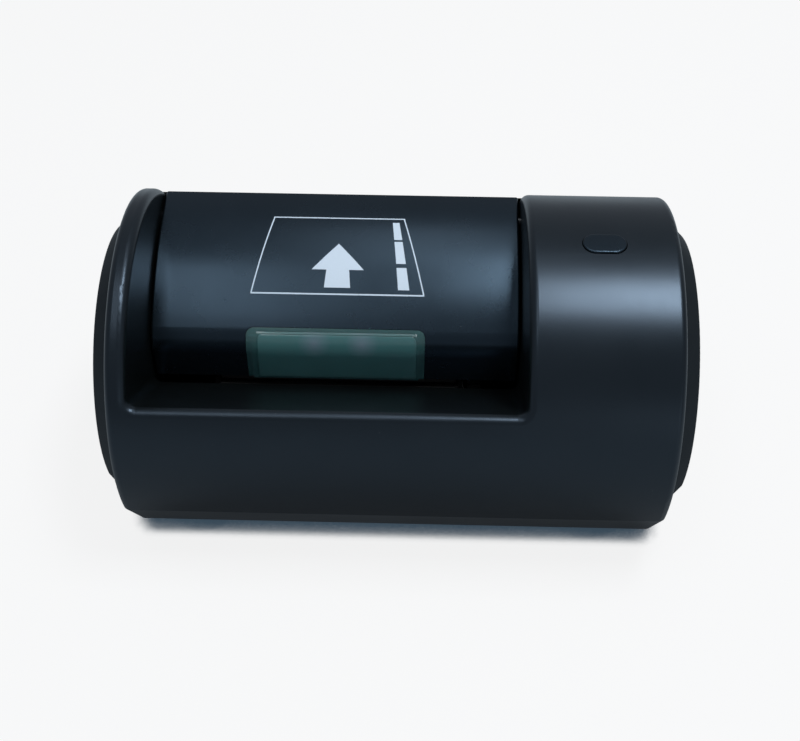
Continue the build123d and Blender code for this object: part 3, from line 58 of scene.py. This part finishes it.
# ---- Camera ----------------------------------------------------------------------------------
CAMERA_DISTANCE = 512.8 * MM
CAMERA_ELEVATION = math.radians(45.0)
CAMERA_AZIMUTH = math.radians(1.5)
CAMERA_ROLL = math.radians(0.17)
CAMERA_LENS = 57.85
CAMERA_SENSOR = 36.0
CAMERA_NEAR = 0.01
CAMERA_FAR = 20.0
# The camera aims beside the drum's middle by this much, to its own right and up.
AIM_RIGHT = 0.8 * MM
AIM_UP = -4.3 * MM


def add_camera():
    """The camera in front of and above the drum, at the elevation where the ramp and cover both show."""
    data = bpy.data.cameras.new("camera")
    data.lens = CAMERA_LENS
    data.sensor_width = CAMERA_SENSOR
    data.clip_start = CAMERA_NEAR
    data.clip_end = CAMERA_FAR
    camera = bpy.data.objects.new("camera", data)
    bpy.context.scene.collection.objects.link(camera)
    away_x = math.sin(CAMERA_AZIMUTH) * math.cos(CAMERA_ELEVATION)
    away_y = -math.cos(CAMERA_AZIMUTH) * math.cos(CAMERA_ELEVATION)
    away = Vector((away_x, away_y, math.sin(CAMERA_ELEVATION)))
    right = Vector((math.cos(CAMERA_AZIMUTH), math.sin(CAMERA_AZIMUTH), 0.0))
    up = away.cross(right)
    aim = drum_middle + right * AIM_RIGHT + up * AIM_UP
    place = drum_middle + away * CAMERA_DISTANCE
    turn = (aim - place).to_track_quat("-Z", "Y") @ Matrix.Rotation(CAMERA_ROLL, 3, "Z").to_quaternion()
    camera.matrix_world = Matrix.Translation(place) @ turn.to_matrix().to_4x4()
    bpy.context.scene.camera = camera


# ---- Material nodes --------------------------------------------------------------------------
# A noise value spreads over 0 to 1, but most of it lies in this span.
NOISE_SPAN = (0.3, 0.7)
# The sockets of a Mix node that is set to colours.
MIX_FIRST = 6
MIX_SECOND = 7
MIX_RESULT = 2


def node_material(name):
    """An empty node material: its node tree, its Principled shader and its object coordinates."""
    material = bpy.data.materials.new(name)
    material.use_nodes = True
    tree = material.node_tree
    shader = tree.nodes["Principled BSDF"]
    coordinates = tree.nodes.new("ShaderNodeTexCoord").outputs["Object"]
    return material, tree, shader, coordinates


def noise(tree, coordinates, scale, detail=3.0, roughness=0.5):
    """A noise value between 0 and 1, with features of about 1 / scale metres."""
    texture = tree.nodes.new("ShaderNodeTexNoise")
    texture.inputs["Scale"].default_value = scale
    texture.inputs["Detail"].default_value = detail
    texture.inputs["Roughness"].default_value = roughness
    tree.links.new(coordinates, texture.inputs["Vector"])
    return texture.outputs["Fac"]


def remap(tree, value, span, to_low=0.0, to_high=1.0):
    """A value remapped from a span to another range, clamped."""
    ramp = tree.nodes.new("ShaderNodeMapRange")
    ramp.inputs["From Min"].default_value = span[0]
    ramp.inputs["From Max"].default_value = span[1]
    ramp.inputs["To Min"].default_value = to_low
    ramp.inputs["To Max"].default_value = to_high
    tree.links.new(value, ramp.inputs["Value"])
    return ramp.outputs["Result"]


def mix_colours(tree, share, first, second):
    """A mix of two colours, each of them red, green and blue or an output that carries a colour."""
    mix = tree.nodes.new("ShaderNodeMix")
    mix.data_type = "RGBA"
    tree.links.new(share, mix.inputs["Factor"])
    for socket, colour in ((mix.inputs[MIX_FIRST], first), (mix.inputs[MIX_SECOND], second)):
        if isinstance(colour, tuple):
            socket.default_value = (*colour, 1.0)
        else:
            tree.links.new(colour, socket)
    return mix.outputs[MIX_RESULT]


def calculate(tree, operation, first, second):
    """A Math node's result, from an output and either another output or a number."""
    node = tree.nodes.new("ShaderNodeMath")
    node.operation = operation
    tree.links.new(first, node.inputs[0])
    if isinstance(second, float):
        node.inputs[1].default_value = second
    else:
        tree.links.new(second, node.inputs[1])
    return node.outputs["Value"]


def set_colour(tree, shader, value, dark, light):
    """Base colour that goes from dark to light with a value."""
    tree.links.new(mix_colours(tree, value, dark, light), shader.inputs["Base Color"])


def set_roughness(tree, shader, value, smooth, rough, span=NOISE_SPAN):
    """Roughness that goes from smooth to rough while a value crosses its span."""
    tree.links.new(remap(tree, value, span, smooth, rough), shader.inputs["Roughness"])


def bump(tree, shader, height, distance):
    """Bumps of the given height, in metres, on the shader's normal."""
    node = tree.nodes.new("ShaderNodeBump")
    node.inputs["Strength"].default_value = 1.0
    node.inputs["Distance"].default_value = distance
    tree.links.new(height, node.inputs["Height"])
    tree.links.new(node.outputs["Normal"], shader.inputs["Normal"])


# ---- Kinds of material -----------------------------------------------------------------------
# Scales are in features per metre. A spread holds the lowest and highest share of a material's own roughness.
BLOTCH_SCALE = 60.0
BLOTCH_SPAN = (0.35, 0.65)
SPECK_SCALE = 1400.0
SPECK_SPAN = (0.83, 0.86)
DUST_COLOUR = (0.5, 0.5, 0.48)
SMEAR_SCALE = 25.0
PLASTIC_SPREAD = (0.9, 1.1)

METAL_SCALE = 2500.0
METAL_SPREAD = (0.8, 1.25)
METAL_SHADE = 0.8
METAL_DEPTH = 0.01 * MM

RUBBER_SPAN = (0.35, 0.7)
RUBBER_DEPTH = 0.05 * MM

# Painted light in the window: paler patches of colour round given centres, standing for light seen in it.
PAINTED_LIGHT_SPOT_COLOUR = (0.135, 0.20, 0.235)
PAINTED_LIGHT_SPOT_RADIUS = 6.5 * MM
ACRYLIC_SCALE = 40.0
ACRYLIC_REACH = 12 * MM
ACRYLIC_IOR = 1.49

GLASS_SCALE = 120.0
GLASS_SPAN = (0.4, 0.7)
GLASS_IOR = 1.52

TRACK_SCALE = 160.0
TRACK_WIDTH = 0.06
TRACK_DEPTH = 0.03 * MM

FELT_SCALE = 3000.0
FELT_DEPTH = 0.2 * MM

INK_SCALE = 1800.0
INK_DEPTH = 0.008 * MM


def moulded_plastic(name, dark, light, rough, grain, depth, specular=0.5, reflection_tint=(1.0, 1.0, 1.0), dust=0.0):
    """Moulded plastic: tool texture of grain features per metre, uneven gloss and a few specks of dust."""
    material, tree, shader, coordinates = node_material(name)
    blotch = noise(tree, coordinates, BLOTCH_SCALE)
    colour = mix_colours(tree, remap(tree, blotch, BLOTCH_SPAN), dark, light)
    if dust:
        specks = noise(tree, coordinates, SPECK_SCALE, detail=1.0)
        colour = mix_colours(tree, remap(tree, specks, SPECK_SPAN, 0.0, dust), colour, DUST_COLOUR)
    tree.links.new(colour, shader.inputs["Base Color"])
    smears = noise(tree, coordinates, SMEAR_SCALE, detail=5.0, roughness=0.6)
    set_roughness(tree, shader, smears, rough * PLASTIC_SPREAD[0], rough * PLASTIC_SPREAD[1])
    shader.inputs["Specular IOR Level"].default_value = specular
    # A tint other than white paints the colour of light into the plastic's reflections.
    shader.inputs["Specular Tint"].default_value = (*reflection_tint, 1.0)
    bump(tree, shader, noise(tree, coordinates, grain, detail=2.0), depth)
    return material


def metal(name, colour, rough, stretch=(1.0, 1.0, 1.0)):
    """Bare metal with fine marks, drawn out along an axis where stretch is small."""
    material, tree, shader, coordinates = node_material(name)
    mapping = tree.nodes.new("ShaderNodeMapping")
    mapping.inputs["Scale"].default_value = stretch
    tree.links.new(coordinates, mapping.inputs["Vector"])
    marks = noise(tree, mapping.outputs["Vector"], METAL_SCALE, detail=4.0, roughness=0.6)
    darker = tuple(METAL_SHADE * part for part in colour)
    set_colour(tree, shader, marks, darker, colour)
    set_roughness(tree, shader, marks, rough * METAL_SPREAD[0], rough * METAL_SPREAD[1])
    shader.inputs["Metallic"].default_value = 1.0
    bump(tree, shader, marks, METAL_DEPTH)
    return material


def rubber(name, dark, light, grain):
    """Ground or moulded rubber with a dull, slightly dusty surface."""
    material, tree, shader, coordinates = node_material(name)
    powder = noise(tree, coordinates, grain, detail=4.0, roughness=0.7)
    set_colour(tree, shader, remap(tree, powder, RUBBER_SPAN), dark, light)
    set_roughness(tree, shader, powder, smooth=0.7, rough=0.9)
    shader.inputs["Specular IOR Level"].default_value = 0.3
    bump(tree, shader, powder, RUBBER_DEPTH)
    return material


def nearness(tree, coordinates, centre, radius):
    """How near a place is to a centre: 1 at the centre, 0 beyond the radius."""
    distance = tree.nodes.new("ShaderNodeVectorMath")
    distance.operation = "DISTANCE"
    distance.inputs[1].default_value = centre
    tree.links.new(coordinates, distance.inputs[0])
    return remap(tree, distance.outputs["Value"], (0.0, radius), 1.0, 0.0)


def tinted_window(name, dark, light, painted_light_spots=()):
    """Dark green acrylic: smooth, cloudy, so that light spreads inside it, and with painted light as paler
    patches round a few given centres.
    """
    material, tree, shader, coordinates = node_material(name)
    cloud = noise(tree, coordinates, ACRYLIC_SCALE, detail=2.0)
    colour = mix_colours(tree, cloud, dark, light)
    # Painted light: the colour turns paler round each centre.
    for centre in painted_light_spots:
        colour = mix_colours(tree, nearness(tree, coordinates, centre, PAINTED_LIGHT_SPOT_RADIUS), colour, PAINTED_LIGHT_SPOT_COLOUR)
    tree.links.new(colour, shader.inputs["Base Color"])
    shader.inputs["Subsurface Weight"].default_value = 0.7
    shader.inputs["Subsurface Radius"].default_value = (0.6, 1.0, 1.0)
    shader.inputs["Subsurface Scale"].default_value = ACRYLIC_REACH
    shader.inputs["IOR"].default_value = ACRYLIC_IOR
    shader.inputs["Coat Weight"].default_value = 0.5
    shader.inputs["Coat Roughness"].default_value = 0.08
    set_roughness(tree, shader, cloud, smooth=0.16, rough=0.22)
    return material


def clear_glass(name):
    """Clear glass strip with a faint green body colour."""
    material, tree, shader, coordinates = node_material(name)
    haze = noise(tree, coordinates, GLASS_SCALE)
    set_colour(tree, shader, haze, dark=(0.86, 0.95, 0.92), light=(0.93, 0.98, 0.96))
    set_roughness(tree, shader, haze, smooth=0.02, rough=0.08, span=GLASS_SPAN)
    shader.inputs["Transmission Weight"].default_value = 0.9
    shader.inputs["IOR"].default_value = GLASS_IOR
    return material


def solder_mask(name):
    """Green circuit board: tracks of copper that show through the mask in right-angled runs."""
    material, tree, shader, coordinates = node_material(name)
    brick = tree.nodes.new("ShaderNodeTexBrick")
    brick.inputs["Scale"].default_value = TRACK_SCALE
    brick.inputs["Mortar Size"].default_value = TRACK_WIDTH
    brick.inputs["Color1"].default_value = (0.008, 0.10, 0.035, 1.0)
    brick.inputs["Color2"].default_value = (0.010, 0.13, 0.045, 1.0)
    brick.inputs["Mortar"].default_value = (0.03, 0.24, 0.08, 1.0)
    tree.links.new(coordinates, brick.inputs["Vector"])
    tree.links.new(brick.outputs["Color"], shader.inputs["Base Color"])
    shader.inputs["Roughness"].default_value = 0.3
    bump(tree, shader, brick.outputs["Fac"], -TRACK_DEPTH)
    return material


def felt(name):
    """Pressed grey felt."""
    material, tree, shader, coordinates = node_material(name)
    fibres = noise(tree, coordinates, FELT_SCALE, detail=6.0, roughness=0.8)
    set_colour(tree, shader, fibres, dark=(0.20, 0.20, 0.19), light=(0.42, 0.41, 0.39))
    shader.inputs["Roughness"].default_value = 0.95
    shader.inputs["Sheen Weight"].default_value = 0.4
    bump(tree, shader, fibres, FELT_DEPTH)
    return material


def screen_print(name):
    """Thick white ink: a slightly mottled matt film."""
    material, tree, shader, coordinates = node_material(name)
    mottle = noise(tree, coordinates, INK_SCALE, detail=4.0, roughness=0.7)
    set_colour(tree, shader, mottle, dark=(0.54, 0.63, 0.72), light=(0.60, 0.69, 0.78))
    set_roughness(tree, shader, mottle, smooth=0.42, rough=0.58)
    bump(tree, shader, mottle, INK_DEPTH)
    return material


# ---- The materials of the slots --------------------------------------------------------------
# Blue specular tints: painted reflection colour, the blue of the light painted into the plastics'
# reflections.
HOUSING_PAINTED_REFLECTION_TINT = (0.60, 0.78, 1.0)
COVER_PAINTED_REFLECTION_TINT = (0.48, 0.73, 1.0)


def grey(level):
    """A colour whose red, green and blue are the same."""
    return (level, level, level)


slot_materials = {
    "housing_black": moulded_plastic(
        "housing_black",
        dark=(0.0025, 0.0034, 0.0034),
        light=(0.0031, 0.0041, 0.0042),
        rough=0.32,
        grain=2600.0,
        depth=0.012 * MM,
        specular=0.52,
        reflection_tint=HOUSING_PAINTED_REFLECTION_TINT,
        dust=0.35,
    ),
    "cover_black": moulded_plastic(
        "cover_black",
        dark=(0.0016, 0.0023, 0.0024),
        light=(0.0021, 0.0029, 0.0030),
        rough=0.27,
        grain=3000.0,
        depth=0.006 * MM,
        specular=0.6,
        reflection_tint=COVER_PAINTED_REFLECTION_TINT,
        dust=0.25,
    ),
    "gear_black": moulded_plastic(
        "gear_black",
        dark=grey(0.006),
        light=grey(0.009),
        rough=0.6,
        grain=1500.0,
        depth=0.01 * MM,
        specular=0.1,
    ),
    "chassis_black": moulded_plastic(
        "chassis_black",
        dark=grey(0.003),
        light=grey(0.005),
        rough=0.7,
        grain=1800.0,
        depth=0.01 * MM,
        specular=0.05,
    ),
    "cap_grey": moulded_plastic(
        "cap_grey",
        dark=(0.0030, 0.0042, 0.0046),
        light=(0.0040, 0.0054, 0.0058),
        rough=0.6,
        grain=2200.0,
        depth=0.02 * MM,
        specular=0.25,
        reflection_tint=HOUSING_PAINTED_REFLECTION_TINT,
    ),
    "window_green": tinted_window("window_green", dark=(0.027, 0.090, 0.090), light=(0.033, 0.106, 0.105)),
    "guide_black": moulded_plastic(
        "guide_black", dark=grey(0.012), light=grey(0.016), rough=0.5, grain=2000.0, depth=0.03 * MM
    ),
    "foot_rubber": rubber("foot_rubber", dark=grey(0.012), light=grey(0.022), grain=900.0),
    "roller_rubber": rubber(
        "roller_rubber", dark=(0.018, 0.018, 0.020), light=(0.035, 0.035, 0.037), grain=1500.0
    ),
    "roller_white": moulded_plastic(
        "roller_white",
        dark=(0.78, 0.78, 0.75),
        light=(0.84, 0.84, 0.81),
        rough=0.4,
        grain=1500.0,
        depth=0.01 * MM,
    ),
    "gear_white": moulded_plastic(
        "gear_white",
        dark=(0.80, 0.79, 0.73),
        light=(0.86, 0.85, 0.79),
        rough=0.35,
        grain=1500.0,
        depth=0.01 * MM,
    ),
    "shaft_steel": metal("shaft_steel", grey(0.62), rough=0.22, stretch=(0.05, 1.0, 1.0)),
    "screw_steel": metal("screw_steel", (0.58, 0.58, 0.56), rough=0.3),
    "plate_steel": metal("plate_steel", (0.66, 0.67, 0.66), rough=0.38, stretch=(1.0, 0.1, 1.0)),
    "sensor_black": moulded_plastic(
        "sensor_black", dark=grey(0.010), light=grey(0.015), rough=0.5, grain=2000.0, depth=0.02 * MM
    ),
    "sensor_glass": clear_glass("sensor_glass"),
    "head_metal": metal("head_metal", (0.74, 0.74, 0.75), rough=0.15),
    "magnet_grey": moulded_plastic(
        "magnet_grey",
        dark=(0.10, 0.10, 0.105),
        light=(0.14, 0.14, 0.145),
        rough=0.6,
        grain=1500.0,
        depth=0.03 * MM,
    ),
    "pad_felt": felt("pad_felt"),
    "board_green": solder_mask("board_green"),
    "part_black": moulded_plastic(
        "part_black", dark=grey(0.012), light=grey(0.018), rough=0.45, grain=1500.0, depth=0.02 * MM
    ),
    "lamp_green": moulded_plastic(
        "lamp_green",
        dark=(0.05, 0.42, 0.12),
        light=(0.07, 0.50, 0.16),
        rough=0.15,
        grain=800.0,
        depth=0.002 * MM,
    ),
    "ribbon_white": moulded_plastic(
        "ribbon_white",
        dark=(0.72, 0.72, 0.69),
        light=(0.80, 0.80, 0.77),
        rough=0.45,
        grain=900.0,
        depth=0.02 * MM,
    ),
    "lead_black": rubber("lead_black", dark=grey(0.014), light=grey(0.022), grain=1200.0),
}
print_white = screen_print("print_white")


def dress_nodes():
    """Give every CAD node the material of its slot in the record."""
    for entry in record["subparts"]:
        data = nodes[entry["node"]].data
        data.materials.clear()
        data.materials.append(slot_materials[entry["material_slot"]])


# ---- Mark printed on the cover ---------------------------------------------------------------
# Places on the cover, in millimetres: X to the right and Y to the back. The ink stands over the cover by
# INK_LIFT, reaches as far below its surface, and follows its curve in steps of INK_STEP.
INK_LIFT = 0.06 * MM
INK_STEP = 0.8
OUTLINE_STROKE = 0.5
OUTLINE_TOP_Y = 32.4
OUTLINE_BOTTOM_Y = 0.7
OUTLINE_TOP_X = (-49.2, 1.6)
OUTLINE_BOTTOM_X = (-56.1, 9.7)
ARROW_X = -23.4
ARROW_TIP_Y = 20.2
ARROW_HEAD_Y = 9.6
ARROW_FOOT_Y = 3.0
ARROW_TIP_WIDTH = 0.1
ARROW_HEAD_WIDTH = 20.0
ARROW_SHAFT_WIDTHS = (8.7, 10.0)
BAR_SPANS = ((30.5, 22.4), (21.5, 12.3), (10.7, 2.5))
BAR_TOP_X = (-2.9, -0.3)
BAR_BOTTOM_X = (-0.1, 4.2)


def between(low, high, share):
    """The value that lies a share of the way from low to high."""
    return low + (high - low) * share


def cover_z(x, y):
    """Height of the cover's outer surface over a place on it."""
    above = Vector((x * MM, y * MM, body_high.z + RAY_LEAD))
    return nodes["cover"].ray_cast(above, Vector((0.0, 0.0, -1.0)))[1].z


def ink_strip(build, top_y, bottom_y, top_x, bottom_x):
    """Closed film of ink between two heights on the cover, whose sides run from top_x to bottom_x."""
    steps = max(1, math.ceil((top_y - bottom_y) / INK_STEP))
    rows = []
    for step in range(steps + 1):
        share = step / steps
        y = between(top_y, bottom_y, share)
        sides = [between(top_x[side], bottom_x[side], share) for side in (0, 1)]
        row = [
            build.verts.new((x * MM, y * MM, cover_z(x, y) + lift))
            for lift in (INK_LIFT, -INK_LIFT)
            for x in sides
        ]
        rows.append(row)
    for upper, lower in zip(rows, rows[1:]):
        for first, second in ((0, 1), (1, 3), (3, 2), (2, 0)):
            build.faces.new((upper[first], lower[first], lower[second], upper[second]))
    for left, right, under_left, under_right in (rows[0], rows[-1]):
        build.faces.new((left, right, under_right, under_left))


def add_ink(name, strips):
    """One printed shape made of strips, which turns with the cover."""
    build = bmesh.new()
    for strip in strips:
        ink_strip(build, *strip)
    bmesh.ops.recalc_face_normals(build, faces=build.faces)
    mesh = bpy.data.meshes.new(name)
    build.to_mesh(mesh)
    build.free()
    mesh.materials.append(print_white)
    shape = bpy.data.objects.new(name, mesh)
    bpy.context.scene.collection.objects.link(shape)
    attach(shape, "cover")


def add_mark():
    """The insertion mark: an outlined sheet, an arrow that points to the back, and three bars."""
    half = OUTLINE_STROKE / 2
    edges = []
    for y, span in ((OUTLINE_TOP_Y, OUTLINE_TOP_X), (OUTLINE_BOTTOM_Y, OUTLINE_BOTTOM_X)):
        wide = (span[0] - half, span[1] + half)
        edges.append((y + half, y - half, wide, wide))
    for top, bottom in zip(OUTLINE_TOP_X, OUTLINE_BOTTOM_X):
        top_x = (top - half, top + half)
        bottom_x = (bottom - half, bottom + half)
        edges.append((OUTLINE_TOP_Y - half, OUTLINE_BOTTOM_Y + half, top_x, bottom_x))
    add_ink("mark_outline", edges)

    tip, head, neck, foot = (
        (ARROW_X - width / 2, ARROW_X + width / 2)
        for width in (ARROW_TIP_WIDTH, ARROW_HEAD_WIDTH, *ARROW_SHAFT_WIDTHS)
    )
    arrow = [(ARROW_TIP_Y, ARROW_HEAD_Y, tip, head), (ARROW_HEAD_Y, ARROW_FOOT_Y, neck, foot)]
    add_ink("mark_arrow", arrow)

    first_y, last_y = BAR_SPANS[0][0], BAR_SPANS[-1][1]
    for number, span in enumerate(BAR_SPANS, 1):
        ends = []
        for y in span:
            share = (first_y - y) / (first_y - last_y)
            ends.append(tuple(between(BAR_TOP_X[side], BAR_BOTTOM_X[side], share) for side in (0, 1)))
        add_ink(f"mark_bar_{number}", [(*span, *ends)])


# ---- Raised field of the window --------------------------------------------------------------
# Insets from the window's left and right side and its top, the corners' radius, the bevel's width, the steps
# and the places of the paler patches of painted light are in millimetres. The field stands over the window by
# FIELD_HEIGHT, and its edge lies FIELD_SUNK below the window's surface.
FIELD_INSETS = (4.0, 3.0)
FIELD_TOP_INSET = 0.9
FIELD_RADIUS = 2.4
FIELD_HEIGHT = 0.22 * MM
FIELD_SUNK = 0.15 * MM
FIELD_BEVEL = 0.5
FIELD_FINE_STEP = 0.25
FIELD_COARSE_STEP = 4.0
FIELD_PAINTED_LIGHT_X = (-31.5, -13.3)
FIELD_PAINTED_LIGHT_Z = 72.3


def stations(low, high, fine_reach):
    """Places from low to high: close together near both ends, wide apart between."""
    places = []
    place = low
    while place < high:
        places.append(place)
        near_end = place < low + fine_reach or place > high - fine_reach - FIELD_COARSE_STEP
        place += FIELD_FINE_STEP if near_end else FIELD_COARSE_STEP
    return [*places, high]


def window_y(x, z):
    """Front surface of the window at a place seen from the front."""
    ahead = Vector((x * MM, body_low.y - RAY_LEAD, z * MM))
    return nodes["cover_window"].ray_cast(ahead, Vector((0.0, 1.0, 0.0)))[1].y


def add_window_field():
    """The raised middle of the window: a field with rounded upper corners and a bevelled edge."""
    low, high = (Vector(corner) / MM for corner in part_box("cover_window"))
    left, right = low.x + FIELD_INSETS[0], high.x - FIELD_INSETS[1]
    bottom, top = low.z + FIELD_BEVEL, high.z - FIELD_TOP_INSET
    columns = stations(left, right, FIELD_RADIUS)
    rows = stations(bottom, top, top - bottom)

    def lift(x, z):
        """Height over the window: full inside the rounded outline, sunk at its edge."""
        across = max(left + FIELD_RADIUS - x, x - right + FIELD_RADIUS, 0.0)
        along = max(z - top + FIELD_RADIUS, 0.0)
        inside = FIELD_RADIUS - math.hypot(across, along)
        share = min(max(min(inside, z - bottom) / FIELD_BEVEL, 0.0), 1.0)
        return between(-FIELD_SUNK, FIELD_HEIGHT, share)

    build = bmesh.new()
    grid = [
        [build.verts.new((x * MM, window_y(x, z) - lift(x, z), z * MM)) for x in columns]
        for z in rows
    ]
    for under, over in zip(grid, grid[1:]):
        for side in range(len(columns) - 1):
            build.faces.new((under[side], under[side + 1], over[side + 1], over[side])).smooth = True
    mesh = bpy.data.meshes.new("window_field")
    build.to_mesh(mesh)
    build.free()
    # Centres of the two patches of painted light on the field.
    painted_light_spots = [(x * MM, window_y(x, FIELD_PAINTED_LIGHT_Z), FIELD_PAINTED_LIGHT_Z * MM) for x in FIELD_PAINTED_LIGHT_X]
    # The field's acrylic is paler than the window's: painted light, standing for light that comes through the
    # field.
    acrylic = tinted_window(
        "window_field_green_painted_light", dark=(0.050, 0.146, 0.146), light=(0.058, 0.166, 0.164), painted_light_spots=painted_light_spots
    )
    mesh.materials.append(acrylic)
    field = bpy.data.objects.new("window_field", mesh)
    bpy.context.scene.collection.objects.link(field)
    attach(field, "cover")


# ---- Floor -----------------------------------------------------------------------------------
FLOOR_SIZE = 3.0
FLOOR_SEGMENTS = 4
FLOOR_SCALE = 3.0
# To the camera, in mirrors and through glass the floor glows by itself, as pale paper in a bright studio. To
# all other rays it is matt paper that the lamps light.
GLOW_SHARE = 0.88
GLOW_STRENGTH = 0.97
GLOW_COLOUR = (1.0, 1.0, 1.0)
# Within this reach of the scanner the glow darkens to a contact shadow.
CONTACT_REACH = 8 * MM
CONTACT_SPAN = (0.58, 0.78)
CONTACT_COLOUR = (0.04, 0.07, 0.10)
# Mirrors show a dimmer glow, with a painted shadow that is darkest beside the scanner.
MIRRORED_REACH = 220 * MM
MIRRORED_SPAN = (0.66, 1.0)
MIRRORED_SHADOW_COLOUR = (0.06, 0.07, 0.08)
MIRRORED_FAR_COLOUR = (0.46, 0.54, 0.60)
OCCLUSION_SAMPLES = 8


def openness(tree, reach, span):
    """How open a place on the floor is within reach: 0 beside the scanner, 1 where nothing stands near."""
    node = tree.nodes.new("ShaderNodeAmbientOcclusion")
    node.inputs["Distance"].default_value = reach
    node.samples = OCCLUSION_SAMPLES
    return remap(tree, node.outputs["AO"], span)


def floor_paper():
    """Matt pale paper, with its glow for the camera, mirrors and glass."""
    material, tree, shader, coordinates = node_material("floor_paper")
    shade = noise(tree, coordinates, FLOOR_SCALE, detail=2.0)
    set_colour(tree, shader, shade, dark=(0.78, 0.79, 0.80), light=(0.80, 0.81, 0.82))
    shader.inputs["Roughness"].default_value = 0.9
    shader.inputs["Specular IOR Level"].default_value = 0.1
    path = tree.nodes.new("ShaderNodeLightPath")
    contact = openness(tree, CONTACT_REACH, CONTACT_SPAN)
    # Painted shadow in reflections: the mirrored glow darkens where the scanner stands near.
    mirrored = openness(tree, MIRRORED_REACH, MIRRORED_SPAN)
    seen_glow = mix_colours(tree, contact, CONTACT_COLOUR, GLOW_COLOUR)
    mirrored_glow = mix_colours(tree, mirrored, MIRRORED_SHADOW_COLOUR, MIRRORED_FAR_COLOUR)
    glow = tree.nodes.new("ShaderNodeEmission")
    glow_colour = mix_colours(tree, path.outputs["Is Glossy Ray"], seen_glow, mirrored_glow)
    tree.links.new(glow_colour, glow.inputs["Color"])
    glow.inputs["Strength"].default_value = GLOW_STRENGTH
    seen = calculate(tree, "MAXIMUM", path.outputs["Is Camera Ray"], path.outputs["Is Transmission Ray"])
    glowing = calculate(tree, "MAXIMUM", seen, path.outputs["Is Glossy Ray"])
    mix = tree.nodes.new("ShaderNodeMixShader")
    tree.links.new(calculate(tree, "MULTIPLY", glowing, GLOW_SHARE), mix.inputs["Fac"])
    tree.links.new(shader.outputs["BSDF"], mix.inputs[1])
    tree.links.new(glow.outputs["Emission"], mix.inputs[2])
    tree.links.new(mix.outputs["Shader"], tree.nodes["Material Output"].inputs["Surface"])
    return material


def add_floor():
    """Plain pale floor that the scanner stands on."""
    mesh = bpy.data.meshes.new("floor")
    build = bmesh.new()
    bmesh.ops.create_grid(build, x_segments=FLOOR_SEGMENTS, y_segments=FLOOR_SEGMENTS, size=FLOOR_SIZE / 2)
    build.to_mesh(mesh)
    build.free()
    floor = bpy.data.objects.new("floor", mesh)
    bpy.context.scene.collection.objects.link(floor)
    mesh.materials.append(floor_paper())


# ---- Light -----------------------------------------------------------------------------------
# Overhead lamps: left, right, front and rear edge in metres, and brightness as a radiance.
LAMPS = {
    "lamp_right": (0.19, 0.46, -0.25, 0.20, 23.0),
    "lamp_left": (-0.36, -0.18, -0.66, 0.08, 4.0),
    "lamp_middle": (-0.10, 0.10, 0.10, 0.62, 2.2),
}
LAMP_COLOUR = (0.93, 0.97, 1.0)
LAMP_HEIGHT = 1.2
# Weak lamp in front: place and size in metres, power in watts.
FILL_PLACE = (0.75, -1.5, 0.30)
FILL_SIZE = (1.1, 0.6)
FILL_POWER = 1.1
FILL_COLOUR = (0.85, 0.95, 1.0)
WORLD_COLOUR = (0.80, 0.88, 1.0)
WORLD_STRENGTH = 0.36


def add_area_light(name, place, target, width, height, power, colour):
    """A soft rectangular lamp that faces target."""
    data = bpy.data.lights.new(name, "AREA")
    data.shape = "RECTANGLE"
    data.size = width
    data.size_y = height
    data.energy = power
    data.color = colour
    lamp = bpy.data.objects.new(name, data)
    bpy.context.scene.collection.objects.link(lamp)
    place = Vector(place)
    turn = (Vector(target) - place).to_track_quat("-Z", "Y")
    lamp.matrix_world = Matrix.Translation(place) @ turn.to_matrix().to_4x4()


def add_lights():
    """A bright lamp over the right end, two broad dimmer ones, a weak fill in front, and dim surroundings."""
    for name, (left, right, front, rear, radiance) in LAMPS.items():
        width = right - left
        depth = rear - front
        middle = ((left + right) / 2, (front + rear) / 2)
        power = radiance * math.pi * width * depth
        add_area_light(name, (*middle, LAMP_HEIGHT), (*middle, 0.0), width, depth, power, LAMP_COLOUR)
    add_area_light("fill_front", FILL_PLACE, drum_middle, *FILL_SIZE, FILL_POWER, FILL_COLOUR)
    world = bpy.data.worlds.new("surroundings")
    world.use_nodes = True
    background = world.node_tree.nodes["Background"]
    background.inputs["Color"].default_value = (*WORLD_COLOUR, 1.0)
    background.inputs["Strength"].default_value = WORLD_STRENGTH
    bpy.context.scene.world = world


bpy.context.scene.view_settings.view_transform = "Standard"
add_camera()
dress_nodes()
add_mark()
add_window_field()
add_floor()
add_lights()
